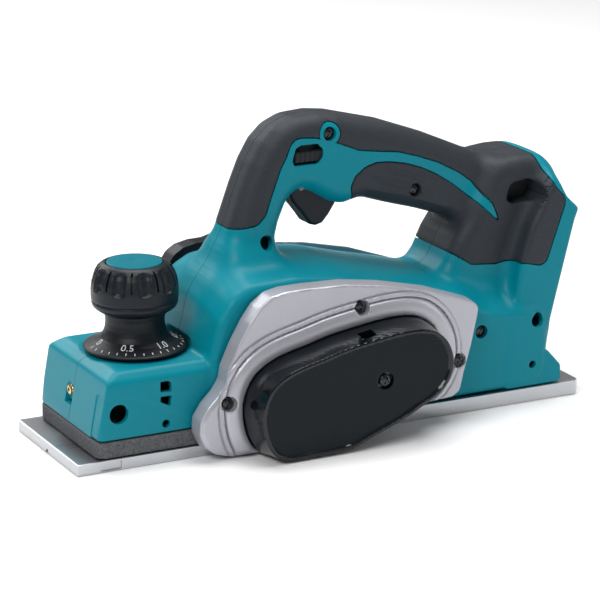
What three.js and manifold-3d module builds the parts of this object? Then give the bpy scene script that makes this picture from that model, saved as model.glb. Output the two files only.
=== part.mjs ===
// Cordless electric hand planer, shown without its battery.
// Millimetres, +Z up, the nose points to -X and the belt side to -Y.
// The origin is the centre of the rear base's sole, and the sole lies at z = 0.
import * as THREE from 'three';
import { mergeVertices } from 'three/addons/utils/BufferGeometryUtils.js';
import Module from 'manifold-3d';

const wasm = await Module();
wasm.setup();

// ---------------------------------------------------------------- driving dimensions

const GAP = 0.3;                 // clearance between pieces that touch
const SOLE_WIDTH = 84;
const REAR_SOLE_LENGTH = 184;
const REAR_SOLE_THICKNESS = 8.5;
const FRONT_SOLE_LENGTH = 98;
const FRONT_SOLE_THICKNESS = 6.5;
const MOUTH = 31.5;              // opening in the sole between the two bases
const MAX_CUT_DEPTH = 2;
const WALL = 3;                  // moulded housing wall
const SKIN = 1.5;                // rubber grip skin
const SIDE_FRAME_THICKNESS = 11.7;
const BELT_COVER_DEPTH = 20;
const BELT_COVER_WALL = 2.4;
const RIGHT_COVER_THICKNESS = 3;

const DRUM_RADIUS = 26;
const KNIFE_RADIUS = 27;
const DRUM_HEIGHT = 27;          // drum axis above the sole
const DRUM_FLAT = 19;            // seat of the blades, from the drum axis
const DRUM_JOURNAL_RADIUS = 5;
const DRUM_PULLEY_RADIUS = 13.5;
const MOTOR_PULLEY_RADIUS = 9;
const PULLEY_WIDTH = 11;
const BELT_THICKNESS = 2;
const MOTOR_RADIUS = 24;
const MOTOR_SHAFT_RADIUS = 4;
const ROTOR_RADIUS = 15;
const MOTOR_AHEAD = 76.5;        // motor axis behind the drum axis
const MOTOR_ABOVE = 17;          // motor axis above the drum axis

const KNOB_SETBACK = 52.9;       // knob axis behind the nose edge
const DIAL_RADIUS = 28.6;
const DIAL_CLEARANCE = 1.2;      // between the dial and its recess in the nose
const KNOB_RADIUS = 24.7;
const KNOB_NECK_RADIUS = 16.9;
const KNOB_CAP_RADIUS = 15.4;
const SCREW_RADIUS = 6;
const DECK_HEIGHT = 53;          // top of the nose, under the dial

const HANDLE_HALF_WIDTH = 16;
const MOUNT_HALF_WIDTH = 38;
const TRIGGER_WIDTH = 15;
const FOOT_WIDTH = 9;

// ---------------------------------------------------------------- derived places

const HALF_SOLE = SOLE_WIDTH / 2;
const REAR_X = REAR_SOLE_LENGTH / 2;
const MOUTH_REAR_X = -REAR_X;
const DRUM_X = MOUTH_REAR_X - 16.5;
const FRONT_LIP_X = MOUTH_REAR_X - MOUTH;
const NOSE_X = FRONT_LIP_X - FRONT_SOLE_LENGTH;
const MOTOR_X = DRUM_X + MOTOR_AHEAD;
const MOTOR_Z = DRUM_HEIGHT + MOTOR_ABOVE;
const KNOB_X = NOSE_X + KNOB_SETBACK;
const HOUSING_HALF = HALF_SOLE - 1;
const DRUM_HALF = HALF_SOLE - 1;
const FRAME_INNER_Y = -(HALF_SOLE + GAP);
const FRAME_OUTER_Y = FRAME_INNER_Y - SIDE_FRAME_THICKNESS;
const COVER_INNER_Y = FRAME_OUTER_Y - GAP;
const COVER_OUTER_Y = COVER_INNER_Y - BELT_COVER_DEPTH;
const RIGHT_COVER_INNER_Y = HALF_SOLE + GAP;
const RIGHT_COVER_OUTER_Y = RIGHT_COVER_INNER_Y + RIGHT_COVER_THICKNESS;
const PULLEY_INNER_Y = COVER_INNER_Y - 2.7;
const PULLEY_OUTER_Y = PULLEY_INNER_Y - PULLEY_WIDTH;
const ARCH_INNER = KNIFE_RADIUS + 1.5;
const ARCH_OUTER = ARCH_INNER + 4.5;
const ARCH_SEAT = ARCH_OUTER + GAP * 2;
const HOUSING_BOTTOM = REAR_SOLE_THICKNESS + GAP * 2;
const FOAM_TOP = 15.7;
const NOSE_BOTTOM = FOAM_TOP + GAP;

// x measured from the drum axis, from the knob axis, or from the rear end of the sole
const fromDrum = (x) => DRUM_X + x;
const fromKnob = (x) => KNOB_X + x;
const fromRear = (x) => REAR_X + x;
const fromMotor = (x) => MOTOR_X + x;

// ---------------------------------------------------------------- solids

function solid(geometry) {
  const bare = geometry.clone();
  bare.deleteAttribute('normal');
  bare.deleteAttribute('uv');
  const merged = mergeVertices(bare, 1e-4);
  const vertProperties = new Float32Array(merged.attributes.position.array);
  const triVerts = new Uint32Array(merged.index.array);
  return new wasm.Manifold(new wasm.Mesh({ numProp: 3, vertProperties, triVerts }));
}

function geometryOf(shape) {
  const mesh = shape.getMesh();
  const geometry = new THREE.BufferGeometry();
  geometry.setAttribute('position', new THREE.BufferAttribute(mesh.vertProperties, 3));
  geometry.setIndex(new THREE.BufferAttribute(mesh.triVerts, 1));
  geometry.computeVertexNormals();
  return geometry;
}

const join = (...shapes) => shapes.reduce((sum, shape) => sum.add(shape));
const cut = (shape, ...tools) => tools.reduce((rest, tool) => rest.subtract(tool), shape);

function box(x0, x1, y0, y1, z0, z1) {
  const geometry = new THREE.BoxGeometry(x1 - x0, y1 - y0, z1 - z0);
  geometry.translate((x0 + x1) / 2, (y0 + y1) / 2, (z0 + z1) / 2);
  return solid(geometry);
}

function crossRod(x, z, radius, y0, y1, segments = 16) {
  const geometry = new THREE.CylinderGeometry(radius, radius, y1 - y0, segments);
  geometry.translate(x, (y0 + y1) / 2, z);
  return solid(geometry);
}

function upright(x, y, radius, z0, z1, segments = 16) {
  const geometry = new THREE.CylinderGeometry(radius, radius, z1 - z0, segments);
  geometry.rotateX(Math.PI / 2);
  geometry.translate(x, y, (z0 + z1) / 2);
  return solid(geometry);
}

// A ring or disc about a line along Y
function crossRing(x, z, inner, outer, y0, y1, segments = 16) {
  const ring = crossRod(x, z, outer, y0, y1, segments);
  return inner > 0 ? ring.subtract(crossRod(x, z, inner, y0 - 1, y1 + 1, segments)) : ring;
}

// Turns a profile of [radius, height] points about a vertical line
function turned(x, y, profile, segments = 24) {
  const points = profile.map(([radius, z]) => new THREE.Vector2(radius, z));
  points.push(points[0].clone());
  const geometry = new THREE.LatheGeometry(points, segments);
  geometry.rotateX(Math.PI / 2);
  geometry.translate(x, y, 0);
  return solid(geometry);
}

function shapeOf(points) {
  return new THREE.Shape(points.map(([x, z]) => new THREE.Vector2(x, z)));
}

// An outline of [x, z] points pushed out along Y
function prism(points, y0, y1) {
  const options = { depth: y1 - y0, bevelEnabled: false, steps: 1 };
  const geometry = new THREE.ExtrudeGeometry(shapeOf(points), options);
  geometry.rotateX(Math.PI / 2);
  geometry.translate(0, y1, 0);
  return solid(geometry);
}

function area(points) {
  return THREE.ShapeUtils.area(points.map(([x, z]) => new THREE.Vector2(x, z)));
}

// Moves every side of an outline inwards by a distance, with mitred corners
function inset(points, distance) {
  if (distance === 0) return points;
  const turn = area(points) > 0 ? 1 : -1;
  const count = points.length;
  const normals = points.map(([x, z], i) => {
    const [nextX, nextZ] = points[(i + 1) % count];
    const length = Math.hypot(nextX - x, nextZ - z);
    return [(-turn * (nextZ - z)) / length, (turn * (nextX - x)) / length];
  });
  return points.map(([x, z], i) => {
    const before = normals[(i + count - 1) % count];
    const after = normals[i];
    const scale = distance / (1 + before[0] * after[0] + before[1] * after[1]);
    return [x + (before[0] + after[0]) * scale, z + (before[1] + after[1]) * scale];
  });
}

// Joins outlines with the same number of points, each a { y, points }, listed from low y to high y
function loft(sections) {
  const forward = area(sections[0].points) > 0;
  const rings = sections.map(({ points }) => (forward ? points : [...points].reverse()));
  const count = rings[0].length;
  const positions = rings.flatMap((ring, level) => (
    ring.flatMap(([x, z]) => [x, sections[level].y, z])));
  const widest = rings.reduce((best, ring) => (area(ring) > area(best) ? ring : best));
  const contour = widest.map(([x, z]) => new THREE.Vector2(x, z));
  const top = count * (rings.length - 1);
  const faces = [];
  THREE.ShapeUtils.triangulateShape(contour, []).forEach(([a, b, c]) => {
    const upward = area([widest[a], widest[b], widest[c]]) > 0;
    const [p, q] = upward ? [b, c] : [c, b];
    faces.push(a, p, q, top + a, top + q, top + p);
  });
  for (let level = 0; level < rings.length - 1; level += 1) {
    for (let i = 0; i < count; i += 1) {
      const low = level * count + i;
      const next = level * count + ((i + 1) % count);
      faces.push(low, low + count, next + count, low, next + count, next);
    }
  }
  const geometry = new THREE.BufferGeometry();
  geometry.setAttribute('position', new THREE.Float32BufferAttribute(positions, 3));
  geometry.setIndex(faces);
  return solid(geometry);
}

// A block symmetric about y = 0 whose outline shrinks by a drop over the last stretch to each side
function crowned(points, halfWidth, edge, drop, shrink = 0) {
  const full = inset(points, shrink);
  const small = inset(points, shrink + drop);
  const outer = halfWidth - shrink;
  const middle = outer - edge;
  return loft([
    { y: -outer, points: small },
    { y: -middle, points: full },
    { y: middle, points: full },
    { y: outer, points: small },
  ]);
}

// A smooth closed outline through a few points
function smooth(points, samples) {
  const controls = points.map(([x, z]) => new THREE.Vector3(x, 0, z));
  const curve = new THREE.CatmullRomCurve3(controls, true, 'centripetal');
  return curve.getSpacedPoints(samples).slice(0, samples).map((p) => [p.x, p.z]);
}

function arcPoints(x, z, radius, fromDegrees, toDegrees, steps) {
  const points = [];
  for (let i = 0; i <= steps; i += 1) {
    const angle = THREE.MathUtils.degToRad(fromDegrees + ((toDegrees - fromDegrees) * i) / steps);
    points.push([x + radius * Math.cos(angle), z + radius * Math.sin(angle)]);
  }
  return points;
}

// A round bar along a smooth route
function lead(route, radius) {
  const curve = new THREE.CatmullRomCurve3(route.map((p) => new THREE.Vector3(...p)));
  const section = new THREE.Shape();
  section.absarc(0, 0, radius, 0, Math.PI * 2, false);
  const options = { steps: 10, extrudePath: curve, curveSegments: 3, bevelEnabled: false };
  return solid(new THREE.ExtrudeGeometry(section, options));
}

// ---------------------------------------------------------------- the finished pieces

const planer = new THREE.Group();

const FINISHES = {
  teal: { color: 0x008a9a, roughness: 0.45, metalness: 0 },
  rubber: { color: 0x3a3f45, roughness: 0.8, metalness: 0 },
  silverPaint: { color: 0xb9b9c6, roughness: 0.4, metalness: 0.5 },
  glossBlack: { color: 0x101c24, roughness: 0.15, metalness: 0 },
  black: { color: 0x1a1d20, roughness: 0.55, metalness: 0 },
  aluminium: { color: 0xb4b6ba, roughness: 0.35, metalness: 1 },
  steel: { color: 0x8d9095, roughness: 0.3, metalness: 1 },
  darkSteel: { color: 0x2a2c30, roughness: 0.35, metalness: 0.8 },
  brass: { color: 0xc79a4b, roughness: 0.3, metalness: 1 },
  foam: { color: 0x55585c, roughness: 0.95, metalness: 0 },
  copper: { color: 0xb06a3a, roughness: 0.4, metalness: 0.9 },
  redLead: { color: 0xa01c1c, roughness: 0.5, metalness: 0 },
};

function place(name, shape, finish) {
  const mesh = new THREE.Mesh(geometryOf(shape), new THREE.MeshStandardMaterial(FINISHES[finish]));
  mesh.name = name;
  planer.add(mesh);
}

// ---------------------------------------------------------------- rear and front base

const FOOT = { x: fromRear(-22), y: -24, z: 4.4, length: 34, pinRadius: 1.5 };

function rearBase() {
  const chamfer = 3;
  const plate = prism([
    [MOUTH_REAR_X, 0],
    [REAR_X - chamfer, 0],
    [REAR_X, chamfer],
    [REAR_X, REAR_SOLE_THICKNESS],
    [MOUTH_REAR_X + 6, REAR_SOLE_THICKNESS],
    [MOUTH_REAR_X, 4],
  ], -HALF_SOLE, HALF_SOLE);
  const archStart = -42;
  const archEnd = 74;
  const arch = prism([
    ...arcPoints(DRUM_X, DRUM_HEIGHT, ARCH_OUTER, archStart, archEnd, 14),
    ...arcPoints(DRUM_X, DRUM_HEIGHT, ARCH_INNER, archEnd, archStart, 14),
  ], -HALF_SOLE, HALF_SOLE);
  const sweep = crossRod(DRUM_X, DRUM_HEIGHT, ARCH_INNER, -HALF_SOLE - 1, HALF_SOLE + 1, 36);
  const slotFront = FOOT.x - FOOT.length - 2;
  const slot = box(slotFront, FOOT.x + 7, FOOT.y - FOOT_WIDTH / 2 - GAP,
    FOOT.y + FOOT_WIDTH / 2 + GAP, -1, REAR_SOLE_THICKNESS - 1.2);
  const pinHole = crossRod(FOOT.x, FOOT.z, FOOT.pinRadius + GAP, FOOT.y - 9, FOOT.y + 9, 12);
  return cut(join(plate, arch), sweep, slot, pinHole);
}

function frontBase() {
  const plate = box(NOSE_X, FRONT_LIP_X, -HALF_SOLE, HALF_SOLE, 0, FRONT_SOLE_THICKNESS);
  const grooveHalf = 3.2;
  const groove = solid(new THREE.ExtrudeGeometry(shapeOf([
    [-grooveHalf, -1],
    [grooveHalf, -1],
    [0, 3.2],
  ]), { depth: FRONT_SOLE_LENGTH + 2, bevelEnabled: false })
    .rotateX(Math.PI / 2).rotateZ(Math.PI / 2).translate(NOSE_X - 1, 0, 0));
  const tower = upright(KNOB_X, 0, 13, FRONT_SOLE_THICKNESS - 1, 34, 24);
  const thread = upright(KNOB_X, 0, SCREW_RADIUS + GAP, 9, 36, 16);
  const lugs = [-1, 1].map((side) => {
    const y = side * (HALF_SOLE - 16);
    return box(fromKnob(22), fromKnob(30), y - 3, y + 3, FRONT_SOLE_THICKNESS - 1, 30);
  });
  const clear = KNIFE_RADIUS + 1.3;
  const sweeps = [0, MAX_CUT_DEPTH / 2, MAX_CUT_DEPTH].map((lift) => (
    crossRod(DRUM_X, DRUM_HEIGHT - lift, clear, -HALF_SOLE - 1, HALF_SOLE + 1, 36)));
  return cut(join(plate, tower, ...lugs), thread, groove, ...sweeps);
}

function foamSeal() {
  const back = fromKnob(32);
  const front = NOSE_X + 12.5;
  const half = HOUSING_HALF - 0.3;
  const strip = 8;
  const bottom = FRONT_SOLE_THICKNESS + GAP;
  const block = box(front, back, -half, half, bottom, FOAM_TOP);
  return cut(block, box(front + strip, back + 1, -half + strip, half - strip, bottom - 1, FOAM_TOP + 1));
}

// ---------------------------------------------------------------- outer shape of the housing

const NOSE_OUTLINE = [
  [fromKnob(-40.5), NOSE_BOTTOM],
  [fromKnob(38), NOSE_BOTTOM],
  [fromKnob(38), DECK_HEIGHT],
  [fromKnob(-27), DECK_HEIGHT],
  [fromKnob(-34), DECK_HEIGHT - 4],
];

const BODY_CROWN = 98;
const BODY_OUTLINE = [
  [fromDrum(-34.5), NOSE_BOTTOM],
  [fromDrum(-34.5), 58],
  [fromDrum(-28), 81],
  [fromDrum(-21), 92],
  [fromDrum(-10), BODY_CROWN],
  [fromMotor(-28), BODY_CROWN - 1],
  [fromMotor(-4), 92],
  [fromMotor(24), 84],
  [fromMotor(52), 74],
  [fromRear(-32), 70],
  [fromRear(-22.5), 45],
  [fromRear(-22.5), HOUSING_BOTTOM],
  [fromDrum(22), HOUSING_BOTTOM],
];

const HEEL_OUTLINE = [
  [fromRear(-50), HOUSING_BOTTOM],
  [fromRear(-12), HOUSING_BOTTOM],
  [fromRear(-12.5), 19],
  [fromRear(-22.5), 30],
  [fromRear(-50), 30],
];

const MOUNT_OUTLINE = [
  [fromRear(-46), 30],
  [fromRear(-41), 82],
  [fromRear(-27), 112],
  [fromRear(-8), 118],
  [fromRear(-1), 112],
  [fromRear(-19), 40],
  [fromRear(-23), 30],
];

const HOOD_OUTLINE = [
  [fromRear(-86), 60],
  [fromRear(-83), 80],
  [fromRear(-74), 96],
  [fromRear(-70), 104],
  [fromRear(-48), 137],
  [fromRear(-26), 138],
  [fromRear(-18), 137],
  [fromRear(-10), 128],
  [fromRear(-2), 112],
  [fromRear(-14), 60],
];

const HANDLE_OUTLINE = [
  [fromDrum(-21), 88],
  [fromDrum(-16), 104],
  [fromDrum(-7), 118],
  [fromDrum(0), 137],
  [fromDrum(6), 150],
  [fromDrum(18), 167],
  [fromDrum(31), 173],
  [fromDrum(50), 174],
  [fromDrum(66), 170],
  [fromRear(-82), 154],
  [fromRear(-45), 138],
  [fromRear(-36), 126],
  [fromRear(-52), 104],
  [fromRear(-70), 106],
  [fromRear(-90), 113],
  [fromDrum(73), 125],
  [fromDrum(62), 121],
  [fromDrum(34), 133],
  [fromDrum(25), 122],
  [fromDrum(20), 104],
  [fromDrum(18), 88],
];

const POST_OUTLINE = [
  [fromDrum(-28), 70],
  [fromDrum(-26), 82],
  [fromDrum(-16), 104],
  [fromDrum(18), 104],
  [fromDrum(21), 90],
  [fromDrum(24), 70],
];

function outerShape(shrink) {
  const dialRecess = upright(KNOB_X, 0, DIAL_RADIUS + DIAL_CLEARANCE + shrink, DECK_HEIGHT - shrink,
    DECK_HEIGHT + 11 + shrink, 28);
  return cut(join(
    crowned(NOSE_OUTLINE, HOUSING_HALF, 4, 3.5, shrink),
    crowned(BODY_OUTLINE, HOUSING_HALF, 12, 6, shrink),
    crowned(HEEL_OUTLINE, HOUSING_HALF, 3, 1.5, shrink),
    crowned(MOUNT_OUTLINE, MOUNT_HALF_WIDTH, 3, 2, shrink),
    crowned(HOOD_OUTLINE, 25, 8, 5, shrink),
    crowned(HANDLE_OUTLINE, HANDLE_HALF_WIDTH, 7, 4.5, shrink),
    crowned(POST_OUTLINE, 21, 6, 4, shrink),
  ), dialRecess);
}

// The stretch of the handle and the battery mount that the rubber skin covers
const SKIN_OUTLINE = [
  [fromDrum(-24), 114],
  [fromDrum(4), 117],
  [fromDrum(14), 130],
  [fromDrum(20), 147],
  [fromDrum(29), 161],
  [fromDrum(44), 162],
  [fromDrum(68), 152],
  [fromRear(-81), 142],
  [fromRear(-60), 128],
  [fromRear(-46), 104],
  [fromRear(-62), 119],
  [fromRear(-82), 134],
  [fromDrum(79), 144],
  [fromDrum(66), 138],
  [fromDrum(64), 126],
  [fromDrum(70), 110],
  [fromRear(-90), 100],
  [fromRear(-80), 88],
  [fromRear(-62), 80],
  [fromRear(-24), 80],
  [fromRear(-12), 114],
  [fromRear(-20), 150],
  [fromRear(-30), 180],
  [fromDrum(-24), 184],
];

// ---------------------------------------------------------------- holes and bosses of the housing

const HOUSING_SCREWS = [
  { name: 'housing_screw_rear', x: fromRear(-66), z: 46, y: -HOUSING_HALF },
  { name: 'housing_screw_grip', x: fromRear(-96), z: 126, y: -HANDLE_HALF_WIDTH },
  { name: 'housing_screw_front', x: fromDrum(50.5), z: 163.5, y: -HANDLE_HALF_WIDTH },
];
const HEAD_RADIUS = 3.6;
const SHANK_RADIUS = 2;
const HEAD_DEPTH = 2.6;
const LOCK = { x0: fromDrum(28), x1: fromDrum(47.5), z0: 147, z1: 157 };
const TRIGGER_PIVOT = [fromDrum(35), 134];
const TRIGGER_PIN_RADIUS = 1.5;
const TRIGGER_PIN_REACH = HANDLE_HALF_WIDTH - WALL - 1;
const BRASS_PLACE = { y: 4, z: 33, radius: 2.6 };

function screwBosses() {
  return HOUSING_SCREWS.map(({ x, z, y }) => crossRod(x, z, HEAD_RADIUS + 2.4, y + 2, -y - 2, 10));
}

function screwHoles() {
  return HOUSING_SCREWS.flatMap(({ x, z, y }) => [
    crossRod(x, z, HEAD_RADIUS + GAP, y - 4, y + HEAD_DEPTH + 1.5, 10),
    crossRod(x, z, SHANK_RADIUS + GAP, y, -y - 4, 8),
  ]);
}

function screw(x, z, headY, length, headRadius = HEAD_RADIUS, shankRadius = SHANK_RADIUS) {
  const cross = 0.9;
  const head = crossRod(x, z, headRadius, headY, headY + HEAD_DEPTH, 10);
  const shank = crossRod(x, z, shankRadius, headY + HEAD_DEPTH - 0.5, headY + length, 8);
  const arm = headRadius * 0.62;
  const slots = [
    box(x - arm, x + arm, headY - 1, headY + 1.2, z - cross / 2, z + cross / 2),
    box(x - cross / 2, x + cross / 2, headY - 1, headY + 1.2, z - arm, z + arm),
  ];
  return cut(join(head, shank), ...slots);
}

const MOTOR = {
  canLeft: FRAME_INNER_Y + 5.3,
  canRight: HALF_SOLE - 27,
  bellRight: HALF_SOLE - 20,
  fanLeft: HALF_SOLE - 18.5,
  fanRight: HALF_SOLE - 10,
  bearingLeft: HALF_SOLE - 8.7,
  bearingRight: HALF_SOLE - 4.4,
  bearingRadius: 9.5,
  fanRadius: 24.5,
};

// The chip chute fills the room between the arch round the drum and the body's crowned roof,
// and stays behind the dial's recess
const CHUTE_FLOOR = DRUM_HEIGHT + ARCH_SEAT + 1.6;
const CHUTE_TOP = BODY_CROWN - 15.5;
const CHUTE_FRONT_X = Math.max(fromDrum(-25), KNOB_X + DIAL_RADIUS + DIAL_CLEARANCE + WALL + GAP);
const CHIP_EXIT = { x0: fromDrum(-18), x1: fromDrum(25), z0: CHUTE_FLOOR - 0.2, z1: CHUTE_TOP - 0.5 };

function housing() {
  const outside = outerShape(0);
  const inside = outerShape(WALL);
  const shell = outside.subtract(inside);
  const cradles = [-22, 6].map((y) => (
    box(MOTOR_X - 32, MOTOR_X + 32, y - 1.5, y + 1.5, 0, MOTOR_Z + 60)
      .subtract(crossRod(MOTOR_X, MOTOR_Z, MOTOR_RADIUS + GAP, y - 5, y + 5, 24))
      .intersect(crowned(BODY_OUTLINE, HOUSING_HALF, 12, 6, WALL - 0.5))));
  const bearingBoss = crossRing(MOTOR_X, MOTOR_Z, MOTOR.bearingRadius + GAP, MOTOR.bearingRadius + 3,
    MOTOR.bearingLeft, HOUSING_HALF - WALL + 0.5, 20);
  const bosses = screwBosses().map((boss) => boss.intersect(outerShape(0.5)));
  const skinPocket = prism(inset(SKIN_OUTLINE, -GAP), -60, 60)
    .intersect(outerShape(-2).subtract(outerShape(SKIN + GAP)));
  const wide = HALF_SOLE + 20;
  const mouth = crossRod(DRUM_X, DRUM_HEIGHT, ARCH_SEAT, -wide, wide, 40);
  const belowDrum = box(fromDrum(-33), fromDrum(33), -wide, wide, 0, DRUM_HEIGHT);
  const noseFloor = box(fromKnob(-29), fromKnob(45), -HALF_SOLE + 12, HALF_SOLE - 12,
    0, NOSE_BOTTOM + 12);
  const dialHole = upright(KNOB_X, 0, SCREW_RADIUS + GAP, DECK_HEIGHT - 8, DECK_HEIGHT + 4, 20);
  const motorShaft = crossRod(MOTOR_X, MOTOR_Z, 12, -wide, -10, 20);
  const chipExit = box(CHIP_EXIT.x0, CHIP_EXIT.x1, 20, wide, CHIP_EXIT.z0, CHIP_EXIT.z1);
  const motorRoom = crossRod(MOTOR_X, MOTOR_Z, MOTOR_RADIUS + GAP,
    MOTOR.canLeft - GAP, MOTOR.bellRight, 24);
  const triggerSlot = box(fromDrum(26), fromDrum(62), -TRIGGER_WIDTH / 2 - GAP * 2,
    TRIGGER_WIDTH / 2 + GAP * 2, 110, 139);
  const pinHole = crossRod(...TRIGGER_PIVOT, TRIGGER_PIN_RADIUS + GAP, -TRIGGER_PIN_REACH - GAP,
    TRIGGER_PIN_REACH + GAP, 12);
  const lockWindow = box(LOCK.x0, LOCK.x1, -wide, wide, LOCK.z0, LOCK.z1);
  const brassHole = noseRod(BRASS_PLACE.radius + GAP, fromKnob(-44), fromKnob(-25));
  const sideHoles = [
    crossRod(fromKnob(-27.8), 30.6, 5.5, -wide, -HALF_SOLE + 12, 16),
    crossRod(fromKnob(-0.4), 21.3, 2.4, -wide, -HALF_SOLE + 8, 12),
    crossRod(fromRear(-29), 48, 4.2, -wide, -MOUNT_HALF_WIDTH + 8, 16),
    crossRod(fromRear(-32), 22, 2.2, -wide, -MOUNT_HALF_WIDTH + 6, 12),
    crossRod(fromDrum(11.5), 107, 4, -wide, -6, 16),
  ];
  const vents = [
    box(fromKnob(-3.8), fromKnob(2.8), -wide, -HALF_SOLE + 8, 39.5, 45.4),
    box(fromKnob(-3.8), fromKnob(2.8), -wide, -HALF_SOLE + 8, 31, 37),
  ];
  const battery = terminalSeat();
  return cut(
    join(shell, ...cradles, bearingBoss, ...bosses, ...mountRails()),
    skinPocket, mouth, belowDrum, noseFloor, dialHole, motorShaft, motorRoom, chipExit, triggerSlot, pinHole,
    lockWindow, brassHole, ...sideHoles, ...vents, ...screwHoles(), battery,
  );
}

// A round bar along X at the brass insert's place in the nose
function noseRod(radius, x0, x1) {
  const geometry = new THREE.CylinderGeometry(radius, radius, x1 - x0, 14);
  geometry.rotateZ(Math.PI / 2);
  geometry.translate((x0 + x1) / 2, BRASS_PLACE.y, BRASS_PLACE.z);
  return solid(geometry);
}

const REACH = 200;
const LEFT_HALF = [-REACH, -GAP / 2];
const RIGHT_HALF = [GAP / 2, REACH];

function half(shape, [y0, y1]) {
  return shape.intersect(box(-400, 400, y0, y1, -50, 400));
}

// ---------------------------------------------------------------- battery mount

// The mount's rear face leans back: its foot and head in [x, z]
const SEAT_FOOT = [fromRear(-19), 40];
const SEAT_HEAD = [fromRear(-1), 112];

function alongSeat(share, out) {
  const dx = SEAT_HEAD[0] - SEAT_FOOT[0];
  const dz = SEAT_HEAD[1] - SEAT_FOOT[1];
  const length = Math.hypot(dx, dz);
  return [
    SEAT_FOOT[0] + dx * share + (out * dz) / length,
    SEAT_FOOT[1] + dz * share - (out * dx) / length,
  ];
}

function seatBar(from, to, low, high, y0, y1) {
  const corners = [alongSeat(from, low), alongSeat(from, high), alongSeat(to, high), alongSeat(to, low)];
  return prism(corners, y0, y1);
}

// The recess that the battery's slide tongue enters, open at the top and to the rear
function terminalSeat() {
  return seatBar(0.16, 1.2, -9, 6, -MOUNT_HALF_WIDTH + 8, MOUNT_HALF_WIDTH - 8);
}

// Two guide rails that hook the battery's slide
function mountRails() {
  return [-1, 1].map((side) => {
    const outer = side * (MOUNT_HALF_WIDTH - WALL);
    const inner = side * (MOUNT_HALF_WIDTH - 12);
    return seatBar(0.1, 0.9, -13, -0.5, Math.min(outer, inner), Math.max(outer, inner));
  });
}

function seatFloor() {
  const y = MOUNT_HALF_WIDTH - 12.5;
  return seatBar(0.2, 0.86, -12.5, -9.6, -y, y);
}

function terminalBlock() {
  const body = seatBar(0.3, 0.66, -9.7, -1.5, -17, 17);
  const slots = [-11, 0, 11].map((y) => seatBar(0.34, 0.7, -7, -0.5, y - 1.4, y + 1.4));
  return join(cut(body, ...slots), seatFloor());
}

function contact(y) {
  return seatBar(0.36, 0.6, -6.6, -1.7, y - 0.6, y + 0.6);
}

// ---------------------------------------------------------------- side frame and covers

const FRAME_OUTLINE = [
  [fromDrum(-29), 1],
  [fromDrum(-43), 7],
  [fromDrum(-47), 18],
  [fromDrum(-42), 31],
  [fromDrum(-31.5), 43],
  [fromDrum(-25), 63],
  [fromDrum(-12), 83],
  [fromDrum(4), 90],
  [fromDrum(42), 89],
  [fromMotor(17), 79],
  [fromMotor(42), 70],
  [fromMotor(48.5), 65],
  [fromMotor(44.5), 43],
  [fromMotor(38), 18],
  [fromMotor(33), 14.5],
  [fromMotor(-16), 12],
  [fromDrum(22), 9.2],
  [fromDrum(16), 1],
];

const COVER_OUTLINE = smooth([
  [fromDrum(-19.5), 26],
  [fromDrum(-14), 43],
  [fromDrum(2), 52],
  [fromDrum(32), 59.5],
  [fromMotor(-12), 64],
  [fromMotor(2), 65],
  [fromMotor(15), 58],
  [fromMotor(21.5), 44],
  [fromMotor(17), 31],
  [fromMotor(2), 20.2],
  [fromDrum(48), 8],
  [fromDrum(33), 2.4],
  [fromDrum(-3), 1.6],
  [fromDrum(-12), 5.5],
  [fromDrum(-17), 13.5],
], 32);

const FRAME_SCREWS = [
  { name: 'side_frame_screw_front', x: fromDrum(-30), z: 32 },
  { name: 'side_frame_screw_top', x: fromDrum(50.5), z: 75 },
  { name: 'side_frame_screw_rear', x: fromMotor(36), z: 36 },
];
const COVER_SCREW = { x: fromDrum(55.5), z: DRUM_HEIGHT + 11 };
const DRUM_BEARING = { radius: 13, left: FRAME_INNER_Y - 8.6, right: FRAME_INNER_Y - 0.8 };
const MOTOR_BEARING = { radius: 9.5, left: FRAME_INNER_Y - 7.4, right: FRAME_INNER_Y - 1.2 };
const POST_END_Y = COVER_OUTER_Y + 6;

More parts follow.
